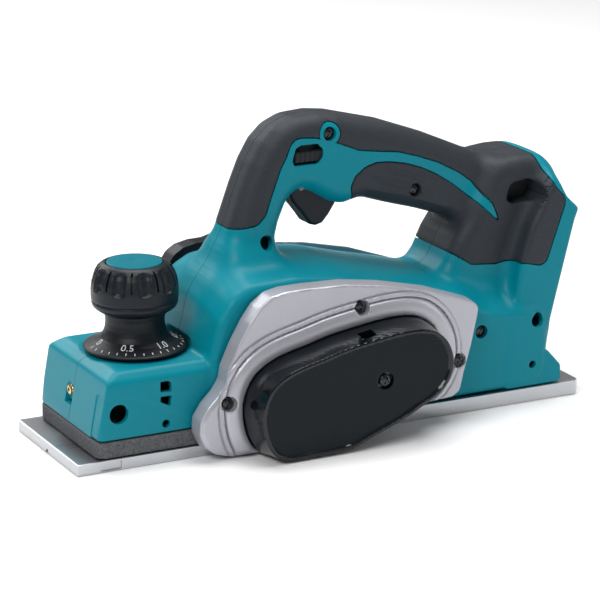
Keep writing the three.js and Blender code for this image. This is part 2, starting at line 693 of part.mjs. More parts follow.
function sideFrame() {
  const wall = 4;
  const edge = 1.5;
  const plate = loft([
    { y: FRAME_OUTER_Y, points: inset(FRAME_OUTLINE, edge) },
    { y: FRAME_OUTER_Y + edge, points: FRAME_OUTLINE },
    { y: FRAME_INNER_Y, points: FRAME_OUTLINE },
  ]);
  const pocket = prism(inset(FRAME_OUTLINE, wall), FRAME_OUTER_Y + wall, FRAME_INNER_Y + 1);
  const drumHub = crossRod(DRUM_X, DRUM_HEIGHT, DRUM_BEARING.radius + wall,
    FRAME_OUTER_Y + 2, FRAME_INNER_Y, 20);
  const motorHub = crossRod(MOTOR_X, MOTOR_Z, MOTOR_BEARING.radius + wall,
    FRAME_OUTER_Y + 2, FRAME_INNER_Y, 16);
  const post = crossRod(COVER_SCREW.x, COVER_SCREW.z, 5, POST_END_Y, FRAME_OUTER_Y + wall + 1, 16);
  const bosses = FRAME_SCREWS.map(({ x, z }) => crossRod(x, z, 6.5, FRAME_OUTER_Y + 2, FRAME_INNER_Y, 10)
    .intersect(prism(inset(FRAME_OUTLINE, 1), FRAME_OUTER_Y, FRAME_INNER_Y)));
  const shafts = [
    crossRod(DRUM_X, DRUM_HEIGHT, DRUM_BEARING.radius + GAP, DRUM_BEARING.left - GAP, 0, 20),
    crossRod(DRUM_X, DRUM_HEIGHT, DRUM_JOURNAL_RADIUS + 3, FRAME_OUTER_Y - 5, 0, 12),
    crossRod(MOTOR_X, MOTOR_Z, MOTOR_BEARING.radius + GAP, MOTOR_BEARING.left - GAP, 0, 16),
    crossRod(MOTOR_X, MOTOR_Z, MOTOR_SHAFT_RADIUS + 3, FRAME_OUTER_Y - 5, 0, 12),
  ];
  const holes = FRAME_SCREWS.flatMap(({ x, z }) => [
    crossRod(x, z, HEAD_RADIUS + GAP, FRAME_OUTER_Y - 5, FRAME_OUTER_Y + HEAD_DEPTH + GAP, 10),
    crossRod(x, z, SHANK_RADIUS + GAP, FRAME_OUTER_Y - 5, 0, 8),
  ]);
  const coverHole = crossRod(COVER_SCREW.x, COVER_SCREW.z, SHANK_RADIUS + GAP, POST_END_Y - 5,
    0, 10);
  const body = join(cut(plate, pocket), drumHub, motorHub, post, ...bosses);
  return cut(body, ...shafts, ...holes, coverHole);
}

function beltCover() {
  const flare = 3;
  const outer = loft([
    { y: COVER_OUTER_Y, points: COVER_OUTLINE },
    { y: COVER_INNER_Y, points: inset(COVER_OUTLINE, -flare) },
  ]);
  const inner = loft([
    { y: COVER_OUTER_Y + BELT_COVER_WALL, points: inset(COVER_OUTLINE, BELT_COVER_WALL) },
    { y: COVER_INNER_Y + 0.5, points: inset(COVER_OUTLINE, BELT_COVER_WALL - flare) },
  ]);
  const boss = crossRod(COVER_SCREW.x, COVER_SCREW.z, 7, COVER_OUTER_Y + 1, POST_END_Y - GAP, 18);
  const seat = crossRod(COVER_SCREW.x, COVER_SCREW.z, HEAD_RADIUS + 0.8, COVER_OUTER_Y - 1,
    COVER_OUTER_Y + HEAD_DEPTH + 1, 16);
  const hole = crossRod(COVER_SCREW.x, COVER_SCREW.z, SHANK_RADIUS + GAP, COVER_OUTER_Y - 1, 0, 10);
  const underside = box(fromDrum(-40), fromMotor(40), COVER_OUTER_Y - 1, 0, -10, 1);
  return cut(join(cut(outer, inner), boss), seat, hole, underside);
}

const RIGHT_OUTLINE = [
  [fromDrum(-24), 1],
  [fromDrum(-31), 16],
  [fromDrum(-31), 52],
  [fromDrum(-25), 66],
  [fromDrum(-12), 84],
  [fromDrum(4), 90],
  [fromDrum(42), 89],
  [fromMotor(17), 80],
  [fromMotor(46), 70],
  [fromMotor(50), 62],
  [fromMotor(42), 22],
  [fromMotor(36), 9.2],
  [fromDrum(22), 9.2],
  [fromDrum(16), 1],
];

const RIGHT_BEARING = { radius: 11, left: HALF_SOLE - 8.5, right: HALF_SOLE - 1.5 };

function rightCover() {
  const plate = loft([
    { y: RIGHT_COVER_INNER_Y, points: RIGHT_OUTLINE },
    { y: RIGHT_COVER_OUTER_Y, points: inset(RIGHT_OUTLINE, 1.5) },
  ]);
  const hub = crossRod(DRUM_X, DRUM_HEIGHT, RIGHT_BEARING.radius + 2.2, RIGHT_BEARING.left - 0.4,
    RIGHT_COVER_INNER_Y + 1, 20);
  const pocket = crossRod(DRUM_X, DRUM_HEIGHT, RIGHT_BEARING.radius + GAP,
    0, RIGHT_BEARING.right + GAP, 20);
  const exit = box(CHIP_EXIT.x0, CHIP_EXIT.x1, 0, 90, CHIP_EXIT.z0, CHIP_EXIT.z1);
  const vents = [0, 1, 2, 3].map((i) => {
    const x = fromMotor(-12 + i * 9);
    return box(x, x + 5, 30, 60, MOTOR_Z - 12, MOTOR_Z + 12);
  });
  return cut(join(plate, hub), pocket, exit, ...vents);
}

// ---------------------------------------------------------------- chip path

function chipChute() {
  const outline = [
    [CHUTE_FRONT_X, CHUTE_FLOOR],
    [CHUTE_FRONT_X + 6, CHUTE_TOP],
    [fromDrum(28), CHUTE_TOP],
    [fromDrum(28), CHUTE_FLOOR],
  ];
  const left = -HOUSING_HALF + WALL + 8;
  const right = HOUSING_HALF - WALL - GAP - 6;
  const outer = prism(outline, left, right);
  const inner = prism(inset(outline, 1.8), left + 1.8, right + 1);
  return cut(outer, inner, box(CHUTE_FRONT_X + 5, fromDrum(24), left + 1.8, right + 1, CHUTE_FLOOR - 12,
    CHUTE_FLOOR + 4));
}

const DUCT = { inner: 17, outer: 19.5, reach: 18 };

function chipDuct() {
  const yaw = THREE.MathUtils.degToRad(-42);
  const y0 = RIGHT_COVER_OUTER_Y + GAP;
  const x0 = CHIP_EXIT.x0 - 3;
  const x1 = CHIP_EXIT.x1 + 3;
  const z0 = CHIP_EXIT.z0 - 4;
  const z1 = CHIP_EXIT.z1 + 12;
  const middleZ = (z0 + z1) / 2;
  const tube = (radius, from, to) => solid(new THREE.CylinderGeometry(radius, radius, to - from, 20)
    .translate(0, (from + to) / 2, 0).rotateZ(yaw).translate(fromDrum(20), y0 + 4, middleZ));
  const outer = join(box(x0, x1, y0, y0 + 18, z0, z1), tube(DUCT.outer, 0, DUCT.reach + 12));
  const trimmed = outer.intersect(box(-400, 400, y0, 200, 0, 200));
  const inner = join(
    box(x0 + 2.5, x1 - 2.5, y0 - 1, y0 + 15.5, z0 + 2.5, z1 - 2.5),
    tube(DUCT.inner, 0, DUCT.reach + 20).intersect(box(-400, 400, y0 - 1, 200, z0 + 2.5, 200)),
  );
  return cut(trimmed, inner);
}

// ---------------------------------------------------------------- cutter drum

function cutterDrum() {
  const round = crossRod(DRUM_X, DRUM_HEIGHT, DRUM_RADIUS, -DRUM_HALF, DRUM_HALF, 36);
  const flats = [-1, 1].map((side) => box(fromDrum(-30), fromDrum(30), -DRUM_HALF - 1, DRUM_HALF + 1,
    side > 0 ? DRUM_HEIGHT + DRUM_FLAT : DRUM_HEIGHT - 40,
    side > 0 ? DRUM_HEIGHT + 40 : DRUM_HEIGHT - DRUM_FLAT));
  const endPocket = crossRod(DRUM_X, DRUM_HEIGHT, RIGHT_BEARING.radius + 3.4, RIGHT_BEARING.left - 2,
    DRUM_HALF + 1, 20);
  const shaft = crossRod(DRUM_X, DRUM_HEIGHT, DRUM_JOURNAL_RADIUS, PULLEY_OUTER_Y - 1,
    RIGHT_BEARING.right - 0.5, 16);
  const bolts = CLAMP_BOLTS.flatMap((y) => [-1, 1].map((side) => upright(DRUM_X - side * 4, y, 2.3,
    side > 0 ? DRUM_HEIGHT + 8 : DRUM_HEIGHT - 30, side > 0 ? DRUM_HEIGHT + 30 : DRUM_HEIGHT - 8, 8)));
  return cut(join(cut(round, ...flats, endPocket), shaft), ...bolts);
}

const CLAMP_BOLTS = [-1, 0, 1].map((step) => step * (DRUM_HALF - 14));

// A piece drawn on the upper flat of the drum, or turned half a circle onto the lower one
function onDrum(shape, side) {
  return side > 0 ? shape : shape.translate([-DRUM_X, 0, -DRUM_HEIGHT])
    .rotate([0, 180, 0]).translate([DRUM_X, 0, DRUM_HEIGHT]);
}

function blade(side) {
  const low = DRUM_FLAT + GAP;
  const tip = Math.sqrt(KNIFE_RADIUS ** 2 - (low + 0.1) ** 2);
  const points = [[8.6, low], [tip, low], [tip - 1.6, low + 1.1], [8.6, low + 1.1]]
    .map(([x, z]) => [DRUM_X + x, DRUM_HEIGHT + z]);
  return onDrum(prism(points, -DRUM_HALF, DRUM_HALF), side);
}

function bladeClamp(side) {
  const low = DRUM_FLAT + GAP;
  const step = low + 1.1 + GAP;
  const arc = arcPoints(0, 0, DRUM_RADIUS - 0.4, 56, 130, 8);
  const points = [[-15.5, low], [8.3, low], [8.3, step], [13.2, step], ...arc]
    .map(([x, z]) => [DRUM_X + x, DRUM_HEIGHT + z]);
  const plate = prism(points, -DRUM_HALF + 0.5, DRUM_HALF - 0.5);
  const holes = CLAMP_BOLTS.flatMap((y) => [
    upright(DRUM_X - 4, y, 2.3, DRUM_HEIGHT + 10, DRUM_HEIGHT + 30, 8),
    upright(DRUM_X - 4, y, 4.5, DRUM_HEIGHT + DRUM_FLAT + 2.3, DRUM_HEIGHT + 30, 8),
  ]);
  return onDrum(cut(plate, ...holes), side);
}

function clampBolt(y, side) {
  const head = upright(DRUM_X - 4, y, 4, DRUM_HEIGHT + DRUM_FLAT + 2.6, DRUM_HEIGHT + DRUM_FLAT + 5.6, 6);
  const shank = upright(DRUM_X - 4, y, 2, DRUM_HEIGHT + 9, DRUM_HEIGHT + DRUM_FLAT + 3, 8);
  return onDrum(join(head, shank), side);
}

function pulley(x, z, radius, bore) {
  return crossRing(x, z, bore, radius, PULLEY_OUTER_Y, PULLEY_INNER_Y, 20);
}

// The loop that two pulleys of the given radii would wrap tightly
function loopOutline(firstRadius, secondRadius) {
  const distance = Math.hypot(MOTOR_AHEAD, MOTOR_ABOVE);
  const tilt = THREE.MathUtils.radToDeg(Math.atan2(MOTOR_ABOVE, MOTOR_AHEAD));
  const lean = THREE.MathUtils.radToDeg(Math.acos((firstRadius - secondRadius) / distance));
  return [
    ...arcPoints(DRUM_X, DRUM_HEIGHT, firstRadius, tilt + lean, tilt + 360 - lean, 16),
    ...arcPoints(MOTOR_X, MOTOR_Z, secondRadius, tilt - lean, tilt + lean, 12),
  ];
}

function driveBelt() {
  const inner = loopOutline(DRUM_PULLEY_RADIUS + GAP + 0.1, MOTOR_PULLEY_RADIUS + GAP + 0.1);
  const thickness = BELT_THICKNESS + GAP + 0.1;
  const outer = loopOutline(DRUM_PULLEY_RADIUS + thickness, MOTOR_PULLEY_RADIUS + thickness);
  const y0 = PULLEY_OUTER_Y + 0.5;
  const y1 = PULLEY_INNER_Y - 0.5;
  return prism(outer, y0, y1).subtract(prism(inner, y0 - 1, y1 + 1));
}

// ---------------------------------------------------------------- motor

function motorCan() {
  const can = crossRing(MOTOR_X, MOTOR_Z, ROTOR_RADIUS + 1.5, MOTOR_RADIUS,
    MOTOR.canLeft + 2, MOTOR.canRight, 24);
  const end = crossRing(MOTOR_X, MOTOR_Z, MOTOR_SHAFT_RADIUS + 1, MOTOR_RADIUS, MOTOR.canLeft,
    MOTOR.canLeft + 2.01, 24);
  return join(can, end);
}

function brushPlate() {
  return crossRing(MOTOR_X, MOTOR_Z, 10.5, MOTOR_RADIUS, MOTOR.canRight + GAP, MOTOR.bellRight, 24);
}

function rotor() {
  const shaft = crossRod(MOTOR_X, MOTOR_Z, MOTOR_SHAFT_RADIUS,
    PULLEY_OUTER_Y - 1, MOTOR.bearingRight - 0.5, 16);
  const core = crossRod(MOTOR_X, MOTOR_Z, ROTOR_RADIUS, MOTOR.canLeft + 6, MOTOR.canRight - 8, 20);
  const poles = 8;
  const slots = [];
  for (let i = 0; i < poles; i += 1) {
    const angle = (i / poles) * Math.PI * 2;
    const x = MOTOR_X + Math.cos(angle) * ROTOR_RADIUS;
    const z = MOTOR_Z + Math.sin(angle) * ROTOR_RADIUS;
    slots.push(crossRod(x, z, 1.6, MOTOR.canLeft + 5, MOTOR.canRight - 7, 6));
  }
  const commutator = crossRod(MOTOR_X, MOTOR_Z, 8.5, MOTOR.canRight - 5, MOTOR.bellRight - 1, 16);
  return join(cut(core, ...slots), shaft, commutator);
}

function fan() {
  const blades = 7;
  const hub = crossRing(MOTOR_X, MOTOR_Z, MOTOR_SHAFT_RADIUS + GAP, 9, MOTOR.fanLeft, MOTOR.fanRight, 14);
  const disc = crossRing(MOTOR_X, MOTOR_Z, 8, MOTOR.fanRadius, MOTOR.fanLeft, MOTOR.fanLeft + 1.5, 20);
  const fins = [];
  for (let i = 0; i < blades; i += 1) {
    const fin = new THREE.BoxGeometry(MOTOR.fanRadius - 9, MOTOR.fanRight - MOTOR.fanLeft - 1.5, 1.2);
    fin.translate((MOTOR.fanRadius + 8) / 2, 0, 0);
    fin.rotateY((i / blades) * Math.PI * 2);
    fin.translate(MOTOR_X, (MOTOR.fanLeft + MOTOR.fanRight) / 2 + 0.5, MOTOR_Z);
    fins.push(solid(fin));
  }
  return join(hub, disc, ...fins);
}

// ---------------------------------------------------------------- depth knob

const DIAL_BOTTOM = DECK_HEIGHT + 0.6;
const DIAL_TOP = 74.5;
const KNOB_TOP = 102;

function depthDial() {
  return turned(KNOB_X, 0, [
    [SCREW_RADIUS + GAP, DIAL_BOTTOM],
    [DIAL_RADIUS - 1.5, DIAL_BOTTOM],
    [DIAL_RADIUS, DIAL_BOTTOM + 1.2],
    [DIAL_RADIUS - 4, 57.5],
    [KNOB_NECK_RADIUS + 2.6, 60.5],
    [KNOB_NECK_RADIUS, 64],
    [KNOB_NECK_RADIUS, DIAL_TOP],
    [SCREW_RADIUS + GAP, DIAL_TOP],
  ]);
}

function knobGrip() {
  const bottom = DIAL_TOP + GAP;
  const capFloor = KNOB_TOP - 3.3;
  return turned(KNOB_X, 0, [
    [SCREW_RADIUS + GAP, bottom],
    [KNOB_RADIUS - 2.2, bottom],
    [KNOB_RADIUS - 0.8, bottom + 2],
    [KNOB_RADIUS, 82],
    [KNOB_RADIUS - 0.6, 92],
    [KNOB_RADIUS - 3, 98],
    [KNOB_CAP_RADIUS + 2.5, KNOB_TOP - 0.9],
    [KNOB_CAP_RADIUS + GAP, KNOB_TOP - 0.4],
    [KNOB_CAP_RADIUS + GAP, capFloor],
    [SCREW_RADIUS + GAP, capFloor],
  ]);
}

function knobCap() {
  return upright(KNOB_X, 0, KNOB_CAP_RADIUS, KNOB_TOP - 3, KNOB_TOP, 24);
}

const COLLAR = { radius: 9, bottom: DECK_HEIGHT - WALL - 4, top: DECK_HEIGHT - WALL - GAP };

function depthScrew() {
  const rod = upright(KNOB_X, 0, SCREW_RADIUS, 22, KNOB_TOP - 3.8, 16);
  return join(rod, upright(KNOB_X, 0, COLLAR.radius, COLLAR.bottom, COLLAR.top, 16));
}

function baseSpring() {
  return turned(KNOB_X, 0, [
    [SCREW_RADIUS + 1, 34 + GAP],
    [SCREW_RADIUS + 2.4, 34 + GAP],
    [SCREW_RADIUS + 2.4, COLLAR.bottom - GAP],
    [SCREW_RADIUS + 1, COLLAR.bottom - GAP],
  ], 16);
}

// ---------------------------------------------------------------- handle controls

function trigger() {
  const points = [
    [30, 131], [32, 126], [36, 121], [40, 116], [43, 111.5], [47, 110], [51, 111.5],
    [55, 116], [59, 122], [60, 127], [52, 132], [40, 137], [33, 137],
  ].map(([x, z]) => [fromDrum(x), z]);
  const body = crowned(points, TRIGGER_WIDTH / 2, 2.5, 1.5);
  return cut(body, crossRod(...TRIGGER_PIVOT, TRIGGER_PIN_RADIUS + GAP, -20, 20, 12));
}

function triggerPin() {
  return crossRod(...TRIGGER_PIVOT, TRIGGER_PIN_RADIUS, -TRIGGER_PIN_REACH, TRIGGER_PIN_REACH, 12);
}

function lockButton() {
  const reach = HANDLE_HALF_WIDTH - 1;
  const x0 = LOCK.x0 + 0.8;
  const x1 = LOCK.x1 - 0.8;
  const middle = (LOCK.z0 + LOCK.z1) / 2;
  const halfHeight = 3.4;
  const clipAt = 8;
  const clipHalf = 0.6;
  const clipRise = halfHeight + 0.6;
  const bar = box(x0, x1, -reach, reach, middle - halfHeight, middle + halfHeight);
  const clips = [-clipAt, clipAt].map((y) => box(x0, x1, y - clipHalf, y + clipHalf,
    middle - clipRise, middle + clipRise));
  return join(bar, ...clips);
}

function switchBody() {
  const x0 = fromDrum(63);
  return box(x0, x0 + 34, -9, 9, 132.5, 148);
}

function controller() {
  return box(fromRear(-78), fromRear(-46), -26, 26, 16, 24);
}

function restFoot() {
  const half = FOOT_WIDTH / 2;
  const outline = [
    [FOOT.x - FOOT.length, 1.2],
    [FOOT.x - FOOT.length + 4, 0.6],
    [FOOT.x - 2, 0.8],
    ...arcPoints(FOOT.x, FOOT.z, 2.6, -60, 110, 6),
    [FOOT.x - 4, 5.4],
    [FOOT.x - FOOT.length, 4.6],
  ];
  const body = prism(outline, FOOT.y - half, FOOT.y + half);
  return cut(body, crossRod(FOOT.x, FOOT.z, FOOT.pinRadius + GAP, FOOT.y - 20, FOOT.y + 20, 12));
}

function footPin() {
  return crossRod(FOOT.x, FOOT.z, FOOT.pinRadius, FOOT.y - 8.5, FOOT.y + 8.5, 12);
}

// ---------------------------------------------------------------- assembly

const shell = housing();
const skin = prism(SKIN_OUTLINE, -60, 60).intersect(outerShape(0).subtract(outerShape(SKIN)));
const skinOpenings = [
  ...screwHoles(),
  crossRod(HOUSING_SCREWS[1].x, HOUSING_SCREWS[1].z, HEAD_RADIUS + 0.6, -60, -8, 14),
  crossRod(HOUSING_SCREWS[2].x, HOUSING_SCREWS[2].z, HEAD_RADIUS + 3, -60, 60, 16),
  terminalSeat(),
  box(LOCK.x0 - 1, LOCK.x1 + 1, -60, 60, LOCK.z0 - 1, LOCK.z1 + 1),
];
const openSkin = cut(skin, ...skinOpenings);

place('rear_base', rearBase(), 'aluminium');
place('front_base', frontBase(), 'aluminium');
place('foam_seal', foamSeal(), 'foam');
place('housing_left', half(shell, LEFT_HALF), 'teal');
place('housing_right', half(shell, RIGHT_HALF), 'teal');
place('grip_skin_left', half(openSkin, LEFT_HALF), 'rubber');
place('grip_skin_right', half(openSkin, RIGHT_HALF), 'rubber');
place('side_frame', sideFrame(), 'silverPaint');
place('belt_cover', beltCover(), 'glossBlack');
place('right_cover', rightCover(), 'silverPaint');
place('chip_chute', chipChute(), 'black');
place('chip_duct', chipDuct(), 'black');

place('cutter_drum', cutterDrum(), 'steel');
[1, -1].forEach((side, index) => {
  place(`blade_${index + 1}`, blade(side), 'steel');
  place(`blade_clamp_${index + 1}`, bladeClamp(side), 'steel');
  CLAMP_BOLTS.forEach((y, bolt) => {
    place(`clamp_bolt_${index * CLAMP_BOLTS.length + bolt + 1}`, clampBolt(y, side), 'darkSteel');
  });
});
place('drum_bearing_left', crossRing(DRUM_X, DRUM_HEIGHT, DRUM_JOURNAL_RADIUS + GAP, DRUM_BEARING.radius,
  DRUM_BEARING.left, DRUM_BEARING.right), 'steel');
place('drum_bearing_right', crossRing(DRUM_X, DRUM_HEIGHT, DRUM_JOURNAL_RADIUS + GAP, RIGHT_BEARING.radius,
  RIGHT_BEARING.left, RIGHT_BEARING.right), 'steel');
place('drum_pulley', pulley(DRUM_X, DRUM_HEIGHT, DRUM_PULLEY_RADIUS, DRUM_JOURNAL_RADIUS + GAP), 'steel');
place('motor_pulley', pulley(MOTOR_X, MOTOR_Z, MOTOR_PULLEY_RADIUS, MOTOR_SHAFT_RADIUS + GAP), 'steel');
place('drive_belt', driveBelt(), 'rubber');

place('motor_can', motorCan(), 'steel');
place('brush_plate', brushPlate(), 'black');
place('rotor', rotor(), 'copper');
place('fan', fan(), 'black');
place('motor_bearing_left', crossRing(MOTOR_X, MOTOR_Z, MOTOR_SHAFT_RADIUS + GAP, MOTOR_BEARING.radius,
  MOTOR_BEARING.left, MOTOR_BEARING.right, 20), 'steel');
place('motor_bearing_right', crossRing(MOTOR_X, MOTOR_Z, MOTOR_SHAFT_RADIUS + GAP, MOTOR.bearingRadius,
  MOTOR.bearingLeft, MOTOR.bearingRight, 20), 'steel');

place('depth_dial', depthDial(), 'black');
place('knob_grip', knobGrip(), 'rubber');
place('knob_cap', knobCap(), 'teal');
place('depth_screw', depthScrew(), 'steel');
place('base_spring', baseSpring(), 'steel');
place('brass_insert', noseRod(BRASS_PLACE.radius, fromKnob(-38), fromKnob(-30)), 'brass');

place('trigger', trigger(), 'rubber');
place('trigger_pin', triggerPin(), 'steel');
place('lock_button', lockButton(), 'black');
place('switch_body', switchBody(), 'black');
place('controller', controller(), 'black');
place('terminal_block', terminalBlock(), 'black');
[-11, 0, 11].forEach((y, index) => place(`contact_${index + 1}`, contact(y), 'brass'));

place('belt_cover_screw', screw(COVER_SCREW.x, COVER_SCREW.z, COVER_OUTER_Y + 0.7, 24), 'darkSteel');
FRAME_SCREWS.forEach(({ name, x, z }) => place(name, screw(x, z, FRAME_OUTER_Y + 0.1, 11), 'darkSteel'));
HOUSING_SCREWS.forEach(({ name, x, z, y }) => {
  place(name, screw(x, z, y + 1.2, Math.min(-2 * y - 7, 34)), 'darkSteel');
});
place('rest_foot', restFoot(), 'black');
place('foot_pin', footPin(), 'steel');

place('battery_lead', lead([
  [fromRear(-30), -8, 92],
  [fromRear(-42), -9, 106],
  [fromRear(-62), -9, 122],
  [HOUSING_SCREWS[1].x, -7, HOUSING_SCREWS[1].z + 11.3],
  [fromDrum(98.5), -6, 140],
], 1.3), 'redLead');
place('motor_lead', lead([
  [fromRear(-52), 14, 26.5],
  [fromMotor(MOTOR_RADIUS + 14), 14, 32],
  [fromMotor(MOTOR_RADIUS + 5), 14, 46],
  [fromMotor(MOTOR_RADIUS - 4), 19, MOTOR_Z + MOTOR_RADIUS - 2.0],
], 1.3), 'redLead');

export default planer;
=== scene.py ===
"""Cordless electric hand planer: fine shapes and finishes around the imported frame.

Shapes are drawn in millimetres in the object's own frame: the nose points to -X, the belt
side to -Y, +Z is up, and z = 0 is the sole. They become metres when a mesh is made.
"""

import logging
import math
from dataclasses import dataclass
from enum import Enum
from typing import Callable, Sequence

import bmesh
import bpy
import numpy as np
from mathutils import Matrix, Vector


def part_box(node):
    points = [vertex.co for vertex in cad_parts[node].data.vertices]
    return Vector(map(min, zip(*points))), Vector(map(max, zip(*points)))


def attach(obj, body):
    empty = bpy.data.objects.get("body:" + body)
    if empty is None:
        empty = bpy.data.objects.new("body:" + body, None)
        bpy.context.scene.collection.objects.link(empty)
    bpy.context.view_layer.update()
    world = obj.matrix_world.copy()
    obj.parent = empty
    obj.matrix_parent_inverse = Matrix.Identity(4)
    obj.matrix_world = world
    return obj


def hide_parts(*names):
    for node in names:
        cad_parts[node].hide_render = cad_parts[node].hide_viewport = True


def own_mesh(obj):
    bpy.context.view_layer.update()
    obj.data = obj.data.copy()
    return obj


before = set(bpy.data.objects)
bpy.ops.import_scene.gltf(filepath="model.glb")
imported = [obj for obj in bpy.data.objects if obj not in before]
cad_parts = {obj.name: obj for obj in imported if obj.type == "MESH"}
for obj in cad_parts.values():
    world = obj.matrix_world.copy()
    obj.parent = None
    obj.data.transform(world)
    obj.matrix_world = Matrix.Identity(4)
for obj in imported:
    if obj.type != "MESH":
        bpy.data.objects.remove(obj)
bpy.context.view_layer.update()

LOG = logging.getLogger("hand_planer")
MM = 0.001
GAP = 0.3
Point = tuple[float, float]
Distance = Callable[[np.ndarray], np.ndarray]


# ------------------------------------------------------------------ outlines and closed forms


def rounded(points: Sequence[Point], radius: float, steps: int = 4) -> np.ndarray:
    """Rounds the corners of a closed outline.

    Args:
        points: corners in order.
        radius: radius of each corner, less where an edge is short.
        steps: points on each rounded corner.

    Returns:
        The rounded outline as an array of points.
    """
    corners = np.array(points, float)
    result = []
    for before, here, after in zip(np.roll(corners, 1, 0), corners, np.roll(corners, -1, 0)):
        back, ahead = before - here, after - here
        back_length, ahead_length = np.hypot(*back), np.hypot(*ahead)
        cosine = np.clip(back @ ahead / (back_length * ahead_length), -0.9999, 0.9999)
        reach = min(radius / math.tan(math.acos(cosine) / 2), 0.45 * min(back_length, ahead_length))
        start = here + back / back_length * reach
        end = here + ahead / ahead_length * reach
        for t in np.linspace(0, 1, steps):
            result.append((1 - t) ** 2 * start + 2 * t * (1 - t) * here + t * t * end)
    return np.array(result)


def curve_through(points: Sequence[Point], steps: int = 5) -> np.ndarray:
    """Draws a smooth closed curve through the given points."""
    knots = np.array(points, float)
    result = []
    shifted = (np.roll(knots, 1, 0), knots, np.roll(knots, -1, 0), np.roll(knots, -2, 0))
    for a, b, c, d in zip(*shifted):
        for t in np.arange(steps) / steps:
            result.append(0.5 * (2 * b + (c - a) * t + (2 * a - 5 * b + 4 * c - d) * t * t
                                 + (3 * b - a - 3 * c + d) * t ** 3))
    return np.array(result)


class Outline:
    """A closed flat outline whose signed distance is kept on a fine grid."""

    STEP = 0.75
    MARGIN = 18.0

    def __init__(self, corners: np.ndarray) -> None:
        """Measures the grid.

        Args:
            corners: points of the outline in order.
        """
        self.corners = corners
        self.low = corners.min(0) - self.MARGIN
        counts = np.ceil((corners.max(0) + self.MARGIN - self.low) / self.STEP).astype(int) + 1
        u = self.low[0] + np.arange(counts[0])[:, None] * self.STEP
        v = self.low[1] + np.arange(counts[1])[None, :] * self.STEP
        nearest = np.full((counts[0], counts[1]), np.inf)
        inside = np.zeros(nearest.shape, bool)
        for (au, av), (bu, bv) in zip(corners, np.roll(corners, -1, 0)):
            along_u, along_v = bu - au, bv - av
            length = along_u ** 2 + along_v ** 2
            if length < 1e-12:
                continue
            share = np.clip(((u - au) * along_u + (v - av) * along_v) / length, 0, 1)
            nearest = np.minimum(nearest, (u - au - along_u * share) ** 2 + (v - av - along_v * share) ** 2)
            if av != bv:
                inside ^= ((av > v) != (bv > v)) & (u < along_u * (v - av) / along_v + au)
        self.values = (np.sqrt(nearest) * np.where(inside, -1, 1)).astype(np.float32)

    def __call__(self, u: np.ndarray, v: np.ndarray) -> np.ndarray:
        """Gives the signed distance at points of the plane."""
        rows, columns = self.values.shape
        s = np.clip((u - self.low[0]) / self.STEP, 0, rows - 1.001)
        t = np.clip((v - self.low[1]) / self.STEP, 0, columns - 1.001)
        i, j = s.astype(np.int32), t.astype(np.int32)
        s, t = s - i, t - j
        flat = self.values.ravel()
        at = i * columns + j
        lower = flat[at] * (1 - t) + flat[at + 1] * t
        upper = flat[at + columns] * (1 - t) + flat[at + columns + 1] * t
        return lower * (1 - s) + upper * s


def softest(a: np.ndarray, b: np.ndarray, reach: float) -> np.ndarray:
    """Gives the lesser of two distances with a rounded join of the given reach."""
    overlap = np.maximum(reach - np.abs(a - b), 0)
    return np.minimum(a, b) - overlap * overlap / (4 * reach)


def ramp(value: np.ndarray, start: float, end: float) -> np.ndarray:
    """Rises smoothly from 0 at start to 1 at end."""
    t = np.clip((value - start) / (end - start), 0, 1)
    return t * t * (3 - 2 * t)


@dataclass(frozen=True)
class Form:
    """A closed shape given by its signed distance in millimetres, negative inside."""

    distance: Distance

    def __call__(self, p: np.ndarray) -> np.ndarray:
        """Gives the distance at points."""
        return self.distance(p)

    def __or__(self, other: "Form") -> "Form":
        """Joins two forms with a crisp line."""
        return Form(lambda p: np.minimum(self(p), other(p)))

    def __and__(self, other: "Form") -> "Form":
        """Keeps what both forms hold."""
        return Form(lambda p: np.maximum(self(p), other(p)))

    def __sub__(self, other: "Form") -> "Form":
        """Cuts the other form away."""
        return Form(lambda p: np.maximum(self(p), -other(p)))

    def blend(self, other: "Form", reach: float) -> "Form":
        """Joins two forms with a fillet."""
        return Form(lambda p: softest(self(p), other(p), reach))

    def carve(self, other: "Form", reach: float) -> "Form":
        """Cuts the other form away and rounds the rim."""
        return Form(lambda p: -softest(-self(p), other(p), reach))

    def grown(self, by: float) -> "Form":
        """Moves the surface outwards."""
        return Form(lambda p: self(p) - by)


def _edge(flat: np.ndarray, depth: np.ndarray, edge: float) -> np.ndarray:
    """Joins an outline's distance and a depth's distance with a round edge."""
    a, b = flat + edge, depth + edge
    return np.minimum(np.maximum(a, b), 0) + np.hypot(np.maximum(a, 0), np.maximum(b, 0)) - edge


def bar(outline: Outline, y0: float, y1: float, edge: float = 0.5) -> Form:
    """An outline drawn in X and Z, carried along Y, with round edges."""
    middle, half = (y0 + y1) / 2, (y1 - y0) / 2
    return Form(lambda p: _edge(outline(p[:, 0], p[:, 2]), np.abs(p[:, 1] - middle) - half, edge))


def plate(outline: Outline, z0: float, z1: float, edge: float = 0.5) -> Form:
    """An outline drawn in X and Y, carried along Z, with round edges."""
    middle, half = (z0 + z1) / 2, (z1 - z0) / 2
    return Form(lambda p: _edge(outline(p[:, 0], p[:, 1]), np.abs(p[:, 2] - middle) - half, edge))


def rod(centre: Point, radius: float, y0: float, y1: float, edge: float = 0.3) -> Form:
    """A round bar along Y about a point in X and Z."""
    middle, half = (y0 + y1) / 2, (y1 - y0) / 2
    return Form(lambda p: _edge(np.hypot(p[:, 0] - centre[0], p[:, 2] - centre[1]) - radius,
                                np.abs(p[:, 1] - middle) - half, edge))


